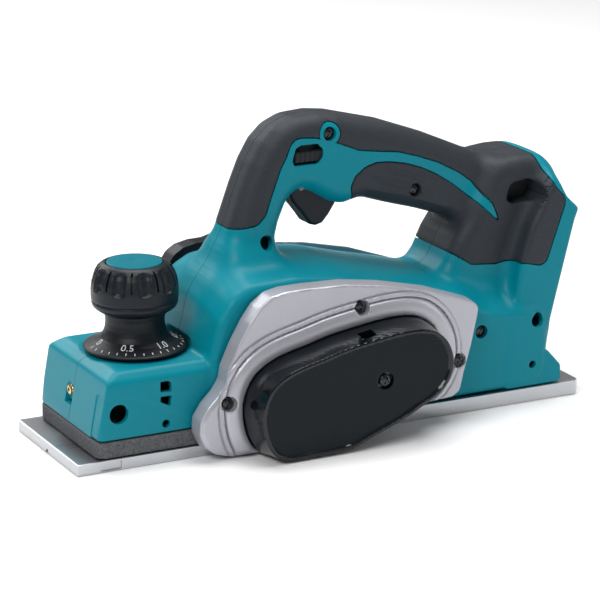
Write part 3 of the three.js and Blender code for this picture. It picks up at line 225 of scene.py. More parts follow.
def upright(centre: Point, radius: float, z0: float, z1: float, edge: float = 0.3) -> Form:
    """A round bar along Z about a point in X and Y."""
    middle, half = (z0 + z1) / 2, (z1 - z0) / 2
    return Form(lambda p: _edge(np.hypot(p[:, 0] - centre[0], p[:, 1] - centre[1]) - radius,
                                np.abs(p[:, 2] - middle) - half, edge))


def block(low: Sequence[float], high: Sequence[float], edge: float = 0.5) -> Form:
    """A box with round edges."""
    middle = (np.array(low, float) + np.array(high, float)) / 2
    half = (np.array(high, float) - np.array(low, float)) / 2 - edge

    def distance(p: np.ndarray) -> np.ndarray:
        q = np.abs(p - middle) - half
        outside = np.sqrt((np.maximum(q, 0) ** 2).sum(1))
        return outside + np.minimum(q.max(1), 0) - edge

    return Form(distance)


def turned_form(x: float, y: float, outline: Outline) -> Form:
    """A profile of radius and height turned about an upright line."""
    return Form(lambda p: outline(np.hypot(p[:, 0] - x, p[:, 1] - y), p[:, 2]))


def half_space(normal: Sequence[float], point: Sequence[float]) -> Form:
    """Everything behind a plane."""
    n = np.array(normal, float)
    n = n / np.linalg.norm(n)
    return Form(lambda p: p @ n - float(np.dot(n, point)))


# ------------------------------------------------------------------ meshes


def mesh_of(name: str, points: np.ndarray, faces: np.ndarray) -> bpy.types.Mesh:
    """Makes a mesh from millimetre points and faces of one corner count."""
    mesh = bpy.data.meshes.new(name)
    corners = faces.shape[1]
    mesh.vertices.add(len(points))
    mesh.vertices.foreach_set("co", (points * MM).astype(np.float32).ravel())
    mesh.loops.add(faces.size)
    mesh.loops.foreach_set("vertex_index", faces.astype(np.int32).ravel())
    mesh.polygons.add(len(faces))
    mesh.polygons.foreach_set("loop_start", np.arange(0, faces.size, corners, dtype=np.int32))
    mesh.update(calc_edges=True)
    mesh.validate()
    return mesh


@dataclass(frozen=True)
class Skinner:
    """Covers a form with a closed mesh that keeps its crisp edges.

    Attributes:
        cell: size of a mesh cell in millimetres.
        most: largest number of triangles left in a piece.
    """

    cell: float = 0.9
    most: int = 150_000
    block: int = 8

    def crossings(self, form: Form, low: np.ndarray, counts: np.ndarray, cell: float) -> list[tuple]:
        """Finds the grid edges that the surface crosses, one tuple for each axis."""
        size = self.block
        index = np.stack(np.meshgrid(*[np.arange(n) for n in counts], indexing="ij"), -1).reshape(-1, 3)
        centres = low + (index + 0.5) * cell * size
        reach = cell * size * 0.5 * math.sqrt(3) * 1.2 + cell
        blocks = index[np.abs(form(centres)) < reach] * size
        side = np.arange(size + 1)
        offsets = np.stack(np.meshgrid(side, side, side, indexing="ij"), -1).reshape(-1, 3)
        found: list[list] = [[], [], []]
        for start in range(0, len(blocks), 1200):
            part = blocks[start:start + 1200]
            grid = part[:, None, :] + offsets[None]
            values = form((grid.reshape(-1, 3) * cell + low).astype(np.float32))
            values = values.reshape(-1, size + 1, size + 1, size + 1)
            first = values[:, :-1, :-1, :-1]
            seconds = (values[:, 1:, :-1, :-1], values[:, :-1, 1:, :-1], values[:, :-1, :-1, 1:])
            for axis, second in enumerate(seconds):
                at = np.argwhere((first < 0) != (second < 0))
                a = first[tuple(at.T)]
                b = second[tuple(at.T)]
                found[axis].append((part[at[:, 0]] + at[:, 1:], a, b))
        return [tuple(np.concatenate([piece[k] for piece in rows]) for k in range(3)) for rows in found]

    def cover(self, name: str, form: Form, low: Sequence[float], high: Sequence[float]) -> bpy.types.Mesh:
        """Meshes the form inside a box.

        Args:
            name: name of the mesh.
            form: the shape.
            low: least corner of a box that holds the shape.
            high: greatest corner of that box.

        Returns:
            A closed mesh with its faces pointing out.
        """
        cell = self.cell * 1.0
        start = np.array(low, float) - 1.37 * cell
        counts = np.ceil((np.array(high, float) - start + 2 * cell) / (cell * self.block)).astype(int)
        span = counts * self.block + 2
        keys, spots, slopes, quads = [], [], [], []
        for axis, (grid, a, b) in enumerate(self.crossings(form, start, counts, cell)):
            unit = np.eye(3)[axis]
            lower, upper = np.zeros(len(a)), np.ones(len(a))
            share = a / (a - b)
            for _ in range(2):
                value = form(start + (grid + share[:, None] * unit) * cell)
                same = (value < 0) == (a < 0)
                lower = np.where(same, share, lower)
                upper = np.where(same, upper, share)
                a_now = np.where(same, value, a)
                b_now = np.where(same, b, value)
                share = lower + (upper - lower) * np.clip(a_now / (a_now - b_now + 1e-12), 0.05, 0.95)
            spot = start + (grid + share[:, None] * unit) * cell
            slope = np.stack([form(spot + step) - form(spot - step) for step in np.eye(3) * 0.12], 1)
            slope /= np.linalg.norm(slope, axis=1, keepdims=True) + 1e-9
            side_b, side_c = np.eye(3, dtype=int)[(axis + 1) % 3], np.eye(3, dtype=int)[(axis + 2) % 3]
            around = [grid, grid - side_b, grid - side_b - side_c, grid - side_c]
            key = np.stack([((c[:, 0] + 1) * span[1] + c[:, 1] + 1) * span[2] + c[:,
                                                                                  2] + 1 for c in around], 1)
            keys.append(key)
            spots.append(spot)
            slopes.append(slope)
            quads.append(np.where((a < 0)[:, None], key, key[:, ::-1]))
        key = np.concatenate(keys)
        names, inverse = np.unique(key.ravel(), return_inverse=True)
        points = self.settle(names, inverse, np.repeat(np.concatenate(spots), 4, 0),
                             np.repeat(np.concatenate(slopes), 4, 0), span, start, cell)
        faces = np.searchsorted(names, np.concatenate(quads))
        LOG.info("%s: %d faces before thinning", name, len(faces))
        return self.thinned(mesh_of(name, points, faces))

    @staticmethod
    def settle(names: np.ndarray, inverse: np.ndarray, spot: np.ndarray, slope: np.ndarray,
               span: np.ndarray, start: np.ndarray, cell: float) -> np.ndarray:
        """Puts each cell's point where the surface's planes meet."""
        count = len(names)

        def total(weights: np.ndarray) -> np.ndarray:
            return np.bincount(inverse, weights, count)

        mean = np.stack([total(spot[:, k]) for k in range(3)], 1) / total(np.ones(len(spot)))[:, None]
        offset = (slope * (spot - mean[inverse])).sum(1)
        matrix = np.empty((count, 3, 3))
        for i in range(3):
            for j in range(i, 3):
                matrix[:, i, j] = matrix[:, j, i] = total(slope[:, i] * slope[:, j])
        matrix += np.eye(3) * 0.08
        right = np.stack([total(slope[:, k] * offset) for k in range(3)], 1)
        shift = np.linalg.solve(matrix, right[:, :, None])[:, :, 0]
        index = np.stack([names // (span[2] * span[1]), names // span[2] % span[1], names % span[2]], 1) - 1
        middle = start + (index + 0.5) * cell
        return np.clip(mean + shift, middle - 0.5 * cell, middle + 0.5 * cell)

    def thinned(self, mesh: bpy.types.Mesh) -> bpy.types.Mesh:
        """Brings a mesh down to the allowed number of triangles."""
        triangles = 2 * len(mesh.polygons)
        if triangles <= self.most:
            return mesh
        holder = bpy.data.objects.new("holder", mesh)
        bpy.context.scene.collection.objects.link(holder)
        modifier = holder.modifiers.new("thin", "DECIMATE")
        modifier.ratio = self.most / triangles
        graph = bpy.context.evaluated_depsgraph_get()
        thin = bpy.data.meshes.new_from_object(holder.evaluated_get(graph))
        thin.name = mesh.name
        bpy.data.objects.remove(holder)
        return thin


def lathe_mesh(name: str, x: float, y: float, profile: np.ndarray, steps: int = 128) -> bpy.types.Mesh:
    """Turns a closed profile of radius and height about an upright line."""
    count = len(profile)
    angles = np.arange(steps) * 2 * math.pi / steps
    points = np.stack([
        x + np.outer(np.cos(angles), profile[:, 0]),
        y + np.outer(np.sin(angles), profile[:, 0]),
        np.tile(profile[:, 1], (steps, 1)),
    ], -1).reshape(-1, 3)
    i, j = np.meshgrid(np.arange(steps), np.arange(count), indexing="ij")
    i, j = i.ravel(), j.ravel()
    k, m = (i + 1) % steps, (j + 1) % count
    faces = np.stack([i * count + j, k * count + j, k * count + m, i * count + m], 1)
    mesh = mesh_of(name, points, faces)
    work = bmesh.new()
    work.from_mesh(mesh)
    bmesh.ops.remove_doubles(work, verts=work.verts, dist=1e-7)
    bmesh.ops.recalc_face_normals(work, faces=work.faces)
    work.to_mesh(mesh)
    work.free()
    return mesh


# ------------------------------------------------------------------ finishes


class Grain(Enum):
    """Kinds of fine surface relief."""

    SPARK = "spark"
    STIPPLE = "stipple"
    CAST = "cast"
    FOAM = "foam"
    MILLED = "milled"
    TURNED = "turned"
    POLISHED = "polished"


@dataclass(frozen=True)
class Relief:
    """Size and height of a surface relief, in metres, and its bump strength."""

    scale: float
    height: float
    strength: float


RELIEFS = {
    Grain.SPARK: Relief(2600.0, 0.00006, 0.35),
    Grain.STIPPLE: Relief(1500.0, 0.00020, 0.75),
    Grain.CAST: Relief(1900.0, 0.00008, 0.40),
    Grain.FOAM: Relief(900.0, 0.00060, 1.0),
    Grain.MILLED: Relief(1400.0, 0.00004, 0.5),
    Grain.TURNED: Relief(2200.0, 0.00003, 0.4),
    Grain.POLISHED: Relief(300.0, 0.00002, 0.15),
}


def surface_group() -> bpy.types.NodeTree:
    """Builds the shared group that varies a finish: mottling, fine grain and a painted highlight on convex
    edges.

    Returns:
        A group with inputs Scale, Stretch, Mottle, Speckle, the strength of the painted edge highlight,
        Base Color, the colour of that highlight and Roughness, and outputs Color, Roughness and Height.
    """
    tree = bpy.data.node_groups.new("planer_surface", "ShaderNodeTree")
    face = tree.interface
    for name, kind, value in (
            ("Scale", "NodeSocketFloat", 1000.0), ("Stretch", "NodeSocketVector", (1.0, 1.0, 1.0)),
            ("Mottle", "NodeSocketFloat", 0.1), ("Speckle", "NodeSocketFloat", 0.0),
            ("Highlight Strength", "NodeSocketFloat", 0.0), ("Base Color", "NodeSocketColor", (0.5, 0.5, 0.5, 1)),
            ("Highlight Color", "NodeSocketColor", (0.7, 0.7, 0.7, 1)), ("Roughness", "NodeSocketFloat", 0.4)):
        socket = face.new_socket(name, in_out="INPUT", socket_type=kind)
        socket.default_value = value
    face.new_socket("Color", in_out="OUTPUT", socket_type="NodeSocketColor")
    face.new_socket("Roughness", in_out="OUTPUT", socket_type="NodeSocketFloat")
    face.new_socket("Height", in_out="OUTPUT", socket_type="NodeSocketFloat")
    nodes, links = tree.nodes, tree.links
    given = nodes.new("NodeGroupInput")
    result = nodes.new("NodeGroupOutput")
    place = nodes.new("ShaderNodeTexCoord")
    stretch = nodes.new("ShaderNodeVectorMath")
    stretch.operation = "MULTIPLY"
    links.new(place.outputs["Object"], stretch.inputs[0])
    links.new(given.outputs["Stretch"], stretch.inputs[1])
    fine = nodes.new("ShaderNodeTexNoise")
    fine.inputs["Detail"].default_value = 2.0
    links.new(stretch.outputs[0], fine.inputs["Vector"])
    links.new(given.outputs["Scale"], fine.inputs["Scale"])
    broad = nodes.new("ShaderNodeTexNoise")
    broad.inputs["Scale"].default_value = 38.0
    broad.inputs["Detail"].default_value = 4.0
    links.new(place.outputs["Object"], broad.inputs["Vector"])
    cells = nodes.new("ShaderNodeTexVoronoi")
    links.new(stretch.outputs[0], cells.inputs["Vector"])
    links.new(given.outputs["Scale"], cells.inputs["Scale"])

    def math_node(operation: str, a: object, b: object) -> bpy.types.NodeSocket:
        node = nodes.new("ShaderNodeMath")
        node.operation = operation
        for socket, value in zip(node.inputs, (a, b)):
            if isinstance(value, bpy.types.NodeSocket):
                links.new(value, socket)
            else:
                socket.default_value = value
        return node.outputs[0]

    centred = math_node("SUBTRACT", broad.outputs["Fac"], 0.5)
    shade = math_node("MULTIPLY", centred, given.outputs["Mottle"])
    grit = math_node("SUBTRACT", fine.outputs["Fac"], 0.5)
    grit = math_node("MULTIPLY", grit, given.outputs["Speckle"])
    brightness = math_node("ADD", math_node("ADD", shade, grit), 1.0)
    tint = nodes.new("ShaderNodeVectorMath")
    tint.operation = "SCALE"
    links.new(given.outputs["Base Color"], tint.inputs[0])
    links.new(brightness, tint.inputs["Scale"])
    # Painted edge highlight: convex edges, found by pointiness, are blended towards a lighter colour.
    geometry = nodes.new("ShaderNodeNewGeometry")
    edge = nodes.new("ShaderNodeMapRange")
    edge.inputs["From Min"].default_value = 0.53
    edge.inputs["From Max"].default_value = 0.62
    links.new(geometry.outputs["Pointiness"], edge.inputs["Value"])
    painted_highlight = math_node("MULTIPLY", edge.outputs["Result"], given.outputs["Highlight Strength"])
    painted_highlight = math_node("MULTIPLY", painted_highlight, math_node("MULTIPLY", broad.outputs["Fac"], 1.6))
    blend = nodes.new("ShaderNodeMix")
    blend.data_type = "RGBA"
    links.new(painted_highlight, blend.inputs["Factor"])
    links.new(tint.outputs[0], blend.inputs[6])
    links.new(given.outputs["Highlight Color"], blend.inputs[7])
    links.new(blend.outputs[2], result.inputs["Color"])
    rough = math_node("ADD", given.outputs["Roughness"], math_node("MULTIPLY", centred, 0.16))
    rough = math_node("ADD", rough,
                      math_node("MULTIPLY", math_node("SUBTRACT", fine.outputs["Fac"], 0.5), 0.12))
    links.new(rough, result.inputs["Roughness"])
    height = math_node("ADD", fine.outputs["Fac"], math_node("MULTIPLY", cells.outputs["Distance"], 0.35))
    links.new(height, result.inputs["Height"])
    return tree


@dataclass(frozen=True)
class Finish:
    """A finish of the planer.

    Attributes:
        name: the material's name.
        slot: name of a material slot, not used.
        color: base colour, linear.
        roughness: mean roughness.
        grain: kind of fine relief.
        metallic: 0 or 1 for plastics and metals, between them for metal paint.
        coat: weight of a clear coat.
        coat_roughness: roughness of that coat.
        mottle: slow change of brightness.
        speckle: fine change of brightness.
        highlight_strength: how strongly convex edges take the painted highlight colour.
        painted_highlight: colour of the painted highlight on convex edges.
        stretch: scale of the grain along X, Y and Z.
        specular: level of plain reflection.
    """

    name: str
    slot: str
    color: tuple[float, float, float]
    roughness: float
    grain: Grain
    metallic: float = 0.0
    coat: float = 0.0
    coat_roughness: float = 0.1
    mottle: float = 0.08
    speckle: float = 0.05
    # Painted edge highlight: how strongly convex edges are lightened, and the lighter colour they take.
    highlight_strength: float = 0.0
    painted_highlight: tuple[float, float, float] = (0.6, 0.6, 0.6)
    stretch: tuple[float, float, float] = (1.0, 1.0, 1.0)
    specular: float = 0.5
    anisotropic: float = 0.0

    def material(self, group: bpy.types.NodeTree) -> bpy.types.Material:
        """Builds the node material."""
        made = bpy.data.materials.new(self.name)
        made.use_nodes = True
        nodes, links = made.node_tree.nodes, made.node_tree.links
        shader = nodes["Principled BSDF"]
        relief = RELIEFS[self.grain]
        surface = nodes.new("ShaderNodeGroup")
        surface.node_tree = group
        surface.inputs["Scale"].default_value = relief.scale
        surface.inputs["Stretch"].default_value = self.stretch
        surface.inputs["Mottle"].default_value = self.mottle
        surface.inputs["Speckle"].default_value = self.speckle
        # Strength and colour of the painted edge highlight.
        surface.inputs["Highlight Strength"].default_value = self.highlight_strength
        surface.inputs["Base Color"].default_value = (*self.color, 1)
        surface.inputs["Highlight Color"].default_value = (*self.painted_highlight, 1)
        surface.inputs["Roughness"].default_value = self.roughness
        links.new(surface.outputs["Color"], shader.inputs["Base Color"])
        links.new(surface.outputs["Roughness"], shader.inputs["Roughness"])
        bump = nodes.new("ShaderNodeBump")
        bump.inputs["Strength"].default_value = relief.strength
        bump.inputs["Distance"].default_value = relief.height
        links.new(surface.outputs["Height"], bump.inputs["Height"])
        links.new(bump.outputs["Normal"], shader.inputs["Normal"])
        shader.inputs["Metallic"].default_value = self.metallic
        shader.inputs["Specular IOR Level"].default_value = self.specular
        shader.inputs["Coat Weight"].default_value = self.coat
        shader.inputs["Coat Roughness"].default_value = self.coat_roughness
        shader.inputs["Anisotropic"].default_value = self.anisotropic
        return made


# In the finishes below, the lighter colour given for convex edges is a painted edge highlight.
TEAL = Finish("teal_moulding", "teal_plastic", (0.0, 0.205, 0.265), 0.36, Grain.SPARK, mottle=0.05,
              speckle=0.04,
              highlight_strength=0.10, painted_highlight=(0.01, 0.34, 0.42), specular=0.16)
TEAL_CAP = Finish("teal_cap_label", "teal_plastic", (0.0, 0.15, 0.20), 0.36, Grain.TURNED, mottle=0.05,
                  specular=0.14)
ELASTOMER = Finish("grip_elastomer", "grip_rubber", (0.022, 0.027, 0.034), 0.55, Grain.STIPPLE, mottle=0.18,
                   speckle=0.9, specular=0.30)
KNOB_RUBBER = Finish("knob_elastomer", "grip_rubber", (0.006, 0.009, 0.013), 0.40, Grain.SPARK, mottle=0.12,
                     speckle=0.15, highlight_strength=0.12, painted_highlight=(0.05, 0.055, 0.065), specular=0.28)
SILVER = Finish("silver_enamel", "silver_paint", (0.43, 0.43, 0.475), 0.36, Grain.CAST, metallic=0.45,
                mottle=0.06,
                speckle=0.16, coat=0.20, coat_roughness=0.22)
GLOSS = Finish("belt_case_gloss", "gloss_black", (0.002, 0.004, 0.006), 0.12, Grain.POLISHED, mottle=0.15,
               specular=0.35, coat=0.15, coat_roughness=0.06)
SATIN = Finish("belt_case_satin", "gloss_black", (0.003, 0.007, 0.010), 0.30, Grain.SPARK, mottle=0.12,
               speckle=0.08,
               specular=0.16)
BLACK = Finish("black_moulding", "black_plastic", (0.006, 0.008, 0.011), 0.42, Grain.SPARK, mottle=0.12,
               speckle=0.10, highlight_strength=0.10, painted_highlight=(0.05, 0.06, 0.07), specular=0.25)
TRIGGER_BLACK = Finish("trigger_moulding", "black_plastic", (0.008, 0.011, 0.015), 0.42, Grain.SPARK,
                       mottle=0.10,
                       speckle=0.10, highlight_strength=0.15, painted_highlight=(0.06, 0.07, 0.08), specular=0.25)
ALUMINIUM = Finish("milled_sole", "aluminium", (0.50, 0.51, 0.53), 0.32, Grain.MILLED, metallic=1.0,
                   mottle=0.10,
                   speckle=0.12, highlight_strength=0.3, painted_highlight=(0.80, 0.80, 0.81), stretch=(0.04, 1.0, 1.0), anisotropic=0.4)
FOAM = Finish("open_foam", "foam", (0.105, 0.108, 0.115), 0.93, Grain.FOAM, mottle=0.3, speckle=1.5,
              specular=0.15)
STEEL = Finish("turned_steel", "steel", (0.50, 0.51, 0.53), 0.28, Grain.TURNED, metallic=1.0, mottle=0.12,
               speckle=0.10, stretch=(1.0, 0.1, 1.0))
BLADE_STEEL = Finish("ground_knife", "blade_steel", (0.68, 0.69, 0.72), 0.20, Grain.MILLED, metallic=1.0,
                     stretch=(1.0, 0.05, 1.0), anisotropic=0.5)
DARK_STEEL = Finish("blackened_screw", "dark_steel", (0.040, 0.042, 0.046), 0.26, Grain.TURNED, metallic=0.85,
                    mottle=0.2, highlight_strength=0.5, painted_highlight=(0.30, 0.30, 0.32))
BELT = Finish("ribbed_belt", "belt_rubber", (0.015, 0.015, 0.016), 0.7, Grain.STIPPLE, speckle=0.2)
COPPER = Finish("motor_winding", "copper", (0.55, 0.22, 0.09), 0.35, Grain.TURNED, metallic=1.0, speckle=0.2)
BRASS = Finish("brass_thread", "brass", (0.80, 0.48, 0.22), 0.26, Grain.TURNED, metallic=1.0, mottle=0.15)
LEAD = Finish("lead_sheath", "lead_insulation", (0.30, 0.012, 0.012), 0.42, Grain.SPARK)
DIAL_WHITE = Finish("dial_marks", "black_plastic", (0.72, 0.73, 0.74), 0.5, Grain.SPARK, mottle=0.04)


class Palette:
    """Makes each finish's material once and dresses pieces with it."""

    def __init__(self) -> None:
        """Builds the shared surface group."""
        self.group = surface_group()
        self.made: dict[str, bpy.types.Material] = {}

    def of(self, finish: Finish) -> bpy.types.Material:
        """Gives the finish's material."""
        if finish.name not in self.made:
            self.made[finish.name] = finish.material(self.group)
        return self.made[finish.name]

    def carried(self, node: str, finish: Finish) -> None:
        """Dresses a piece of the frame that keeps its own shape."""
        piece = bpy.data.objects[node]
        material = self.of(finish)
        if not piece.material_slots:
            piece.data.materials.append(material)
        for slot in piece.material_slots:
            slot.material = material
        LOG.info("dressed %s with %s", node, finish.name)


class Workshop:
    """Adds finished pieces to the scene and ties them to the frame's bodies."""

    def __init__(self, palette: Palette) -> None:
        """Keeps the palette."""
        self.palette = palette

    def add(self, mesh: bpy.types.Mesh, name: str, body: str, finishes: Sequence[Finish],
            nodes: Sequence[str] = (), crease: float = 34.0) -> bpy.types.Object:
        """Puts a mesh in the scene as a piece.

        Args:
            mesh: the finished mesh, in metres and in place.
            name: name of the piece.
            body: the body that it rides on.
            finishes: one finish for each material index of the mesh.
            nodes: nodes of the frame that it stands for.
            crease: angle in degrees above which an edge stays sharp.

        Returns:
            The new object.
        """
        mesh.name = name
        mesh.materials.clear()
        for finish in finishes:
            mesh.materials.append(self.palette.of(finish))
        mesh.polygons.foreach_set("use_smooth", [True] * len(mesh.polygons))
        mesh.set_sharp_from_angle(angle=math.radians(crease))
        mesh.update()
        piece = bpy.data.objects.new(name, mesh)
        bpy.context.scene.collection.objects.link(piece)
        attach(piece, body)
        if nodes:
            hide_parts(*nodes)
        LOG.info("added %s on %s: %d faces", name, body, len(mesh.polygons))
        return piece


def box_mm(node: str) -> tuple[np.ndarray, np.ndarray]:
    """Gives a node's least and greatest corners in millimetres."""
    low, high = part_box(node)
    return np.array(low) / MM, np.array(high) / MM


# ------------------------------------------------------------------ places taken from the frame

REAR_LOW, REAR_HIGH = box_mm("rear_base")
NOSE_LOW, NOSE_HIGH = box_mm("front_base")
DRUM_LOW, DRUM_HIGH = box_mm("drum_bearing_left")
MOTOR_LOW, MOTOR_HIGH = box_mm("motor_can")
CAP_LOW, CAP_HIGH = box_mm("knob_cap")
DIAL_LOW, DIAL_HIGH = box_mm("depth_dial")
SEAL_LOW, SEAL_HIGH = box_mm("foam_seal")
CASE_LOW, CASE_HIGH = box_mm("belt_cover")
FRAME_LOW, FRAME_HIGH = box_mm("side_frame")
GUARD_LOW, GUARD_HIGH = box_mm("right_cover")
DUCT_LOW, DUCT_HIGH = box_mm("chip_duct")

DRUM = ((DRUM_LOW[0] + DRUM_HIGH[0]) / 2, (DRUM_LOW[2] + DRUM_HIGH[2]) / 2)
MOTOR = ((MOTOR_LOW[0] + MOTOR_HIGH[0]) / 2, (MOTOR_LOW[2] + MOTOR_HIGH[2]) / 2)
KNOB_X = (CAP_LOW[0] + CAP_HIGH[0]) / 2
SOLE_HALF = REAR_HIGH[1]
ARCH_RADIUS = 33.6
WALL = 3.0
SKIN = 1.5
FACE_Y = FRAME_HIGH[1] - 11.7


# ------------------------------------------------------------------ casing


@dataclass
class Casing:
    """The two moulded halves of the housing, with nose, body, handle and battery mount.

    Attributes:
        half_width: half width of the body and the nose.
        handle_half: half width of the handle.
        mount_half: half width of the battery mount.
        deck: height of the nose's top face.
    """

    half_width: float = 41.0
    handle_half: float = 16.0
    mount_half: float = 38.0
    deck: float = 53.0

    body_points: tuple = ((-143, 16), (-143, 57), (-137, 79), (-129.5, 91), (-118.5, 97.0), (-90, 97.8),
                          (-60, 94), (-36, 87.6), (-8, 81.0), (20, 74), (44, 70), (62, 68), (69.5, 45),
                          (69.5, 9.1), (-90, 9.1))
    heel_points: tuple = ((42, 9.1), (80, 9.1), (79.5, 19), (70.5, 29), (42, 32))
    mount_points: tuple = ((44, 12), (50, 60), (54, 84), (60, 102), (66, 117), (69, 133), (75, 138.5),
                           (80, 134),
                           (84, 124), (91, 113.5), (91, 111), (73, 40), (69.4, 30), (69.4, 12))
    hood_points: tuple = ((10, 60), (12, 80), (20, 96), (27, 106), (34, 118), (45, 138), (60, 139.5),
                          (73, 139.5), (81, 131), (86, 118), (78, 60))
    handle_points: tuple = ((-126, 86), (-121, 103), (-115, 118), (-108, 137), (-102.5, 150), (-96, 161),
                            (-88, 168.5),
                            (-77.5, 173), (-63, 174), (-51, 172.6), (-19, 164.5), (10, 154), (47, 138),
                            (58, 124), (46, 104), (22, 106), (0, 113.5), (-19, 119), (-36, 124.5),
                            (-46.5, 121),
                            (-56, 124), (-68, 131.5), (-76, 132.5), (-81.5, 127), (-86, 116), (-89.5, 102),
                            (-91, 86))
    post_points: tuple = ((-134, 70), (-128, 84), (-121, 97), (-117.5, 106), (-92, 106), (-88, 92), (-84, 70))
    skin_points: tuple = ((-128, 113.5), (-112, 115.5), (-102, 117), (-97, 122), (-94, 131), (-91, 139),
                          (-88, 147),
                          (-84.5, 153), (-82, 159.5), (-79, 162.5), (-75, 163), (-66, 162), (-52, 157.5),
                          (-40, 152.5),
                          (-27, 150.5), (-15, 149), (-2, 145), (11, 140), (24, 133), (32, 127), (36, 120.5),
                          (41, 115),
                          (46.5, 103), (38, 111), (30, 119), (20, 127), (10, 133.5), (0, 138.5), (-10, 142),
                          (-20, 144), (-29, 144.5), (-36, 142.5), (-42, 138), (-45, 132), (-42.5, 124),
                          (-38, 108),
                          (6, 96), (16, 88.5), (28, 81), (44, 79.5), (56, 81.5), (66, 79), (70, 81),
                          (81, 112.5), (81.5, 117), (75.5, 123), (71.5, 133), (68.5, 150), (60, 190),
                          (-132, 190))
    window_points: tuple = ((-81, 151), (-79, 157.5), (-76, 159), (-65.5, 159), (-62, 155.5), (-62, 151.5),
                            (-65, 147.6), (-80, 147.6))
    ridge_lines: tuple = (((-27, 140), (-10, 136), (9, 128)), ((-35, 136.5), (-9, 128.5), (12, 120)),
                          ((-36, 130.5), (-11, 124), (22, 112)))
    screws: tuple = ((26.0, 46.0, -41.0), (-4.0, 126.0, -16.0), (-58.0, 163.5, -16.0))

    def __post_init__(self) -> None:
        """Draws the outlines once."""
        self.body_outline = Outline(rounded(self.body_points, 14))
        self.heel_outline = Outline(rounded(self.heel_points, 3))
        self.mount_outline = Outline(rounded(self.mount_points, 5))
        self.hood_outline = Outline(rounded(self.hood_points, 12))
        self.handle_outline = Outline(rounded(self.handle_points, 14))
        self.post_outline = Outline(rounded(self.post_points, 8))
        self.skin_outline = Outline(rounded(self.skin_points, 5))
        self.window_outline = Outline(rounded(self.window_points, 2))
        self.cup_outline = Outline(rounded(((48.6, 114.9), (51.6, 126.6), (66.6, 128.2), (71, 122.6),
                                            (69.3, 113.8), (53, 111.6)), 5))
        self.plan = Outline(rounded(((-209, -self.half_width), (-125, -self.half_width),
                                     (-125, self.half_width), (-209, self.half_width)), 5))

    def nose(self) -> Form:
        """Gives the nose block with its leaning front and chamfered top."""
        half, deck = self.half_width, self.deck
        planes = [half_space((-33, 0, 6.4), (-209.1, 0, 16)), half_space((0, 0, 1), (0, 0, deck)),
                  half_space((-4, 0, 7), (-195.6, 0, deck)),
                  half_space((0, -5, 5), (0, -half + 5, deck)), half_space((0, 5, 5), (0, half - 5, deck)),
                  half_space((0, 0, -1), (0, 0, 16))]

        def distance(p: np.ndarray) -> np.ndarray:
            value = self.plan(p[:, 0], p[:, 1])
            for plane in planes:
                value = -softest(-value, -plane(p), 1.6)
            lower_panel = ramp(-(p[:, 2] - 21 - np.interp(p[:, 0], (-205, -184, -154), (19, 16, 0))), -0.3,
                               0.3)
            return value + 0.45 * lower_panel * (p[:, 1] < -30)

        return Form(distance)

    def body(self) -> Form:
        """Gives the body, whose top is crowned across its width."""
        half = self.half_width

        def distance(p: np.ndarray) -> np.ndarray:
            side = np.abs(p[:, 1]) / half
            fall = 7.5 + 9.5 * ramp(p[:, 0], 12, 34)
            lowered = p[:, 2] + fall * side ** 2.4 * ramp(p[:, 2], 34, 62)
            return _edge(self.body_outline(p[:, 0], lowered), np.abs(p[:, 1]) - half, 4.0)

        return Form(distance)

    def mount(self) -> Form:
        """Gives the battery mount, whose top falls towards its sides."""

        def distance(p: np.ndarray) -> np.ndarray:
            side = np.abs(p[:, 1]) / self.mount_half
            lowered = p[:, 2] + 13 * np.clip(side, 0, 1.1) ** 3 * ramp(p[:, 2], 100, 126)
            return _edge(self.mount_outline(p[:, 0], lowered), np.abs(p[:, 1]) - self.mount_half, 3.0)

        return Form(distance)

    def outer(self) -> Form:
        """Gives the whole outer shape."""
        post = bar(self.post_outline, -20.5, 20.5, 9)
        handle = bar(self.handle_outline, -self.handle_half, self.handle_half, 10.5)
        hood = bar(self.hood_outline, -25, 25, 9)
        shape = self.body().blend(self.nose(), 3).blend(post, 11).blend(handle, 7)
        shape = shape.blend(hood, 10).blend(self.mount(), 7)
        shape = shape | bar(self.heel_outline, -self.half_width, self.half_width, 1.2)
        recess = upright((KNOB_X, 0), DIAL_HIGH[0] - KNOB_X + 1.2, self.deck - 0.4, self.deck + 5, 1.5)
        return shape.carve(recess, 2.0)

    def seat(self, low: float, high: float, near: float, far: float, half: float) -> Form:
        """Gives a box laid along the leaning battery seat.

        Args:
            low: share of the seat's length where the box starts.
            high: share where it ends.
            near: depth inside the seat face.
            far: height above the seat face.
            half: half width.
        """
        foot, head = np.array((73.0, 40.0)), np.array((91.0, 112.0))
        along = head - foot
        length = np.hypot(*along)
        along = along / length
        out = np.array((along[1], -along[0]))
        middle_s, half_s = (low + high) / 2 * length, (high - low) / 2 * length

        def distance(p: np.ndarray) -> np.ndarray:
            q = p[:, (0, 2)] - foot
            s = np.abs(q @ along - middle_s) - half_s
            t = np.abs(q @ out - (far + near) / 2) - (far - near) / 2
            return _edge(np.maximum(s, t), np.abs(p[:, 1]) - half, 0.8)

        return Form(distance)

    def mask(self, inset: float) -> Form:
        """Gives the stretch that the soft skin covers, smaller by the inset."""
        return Form(lambda p: self.skin_outline(p[:, 0], p[:, 2]) + inset)

    def screw_ring(self, radius: float) -> Form:
        """Gives the round boss about the upper screw that stays free of the skin."""
        x, z, y = self.screws[2]
        return rod((x, z), radius, -60, 60, 0)

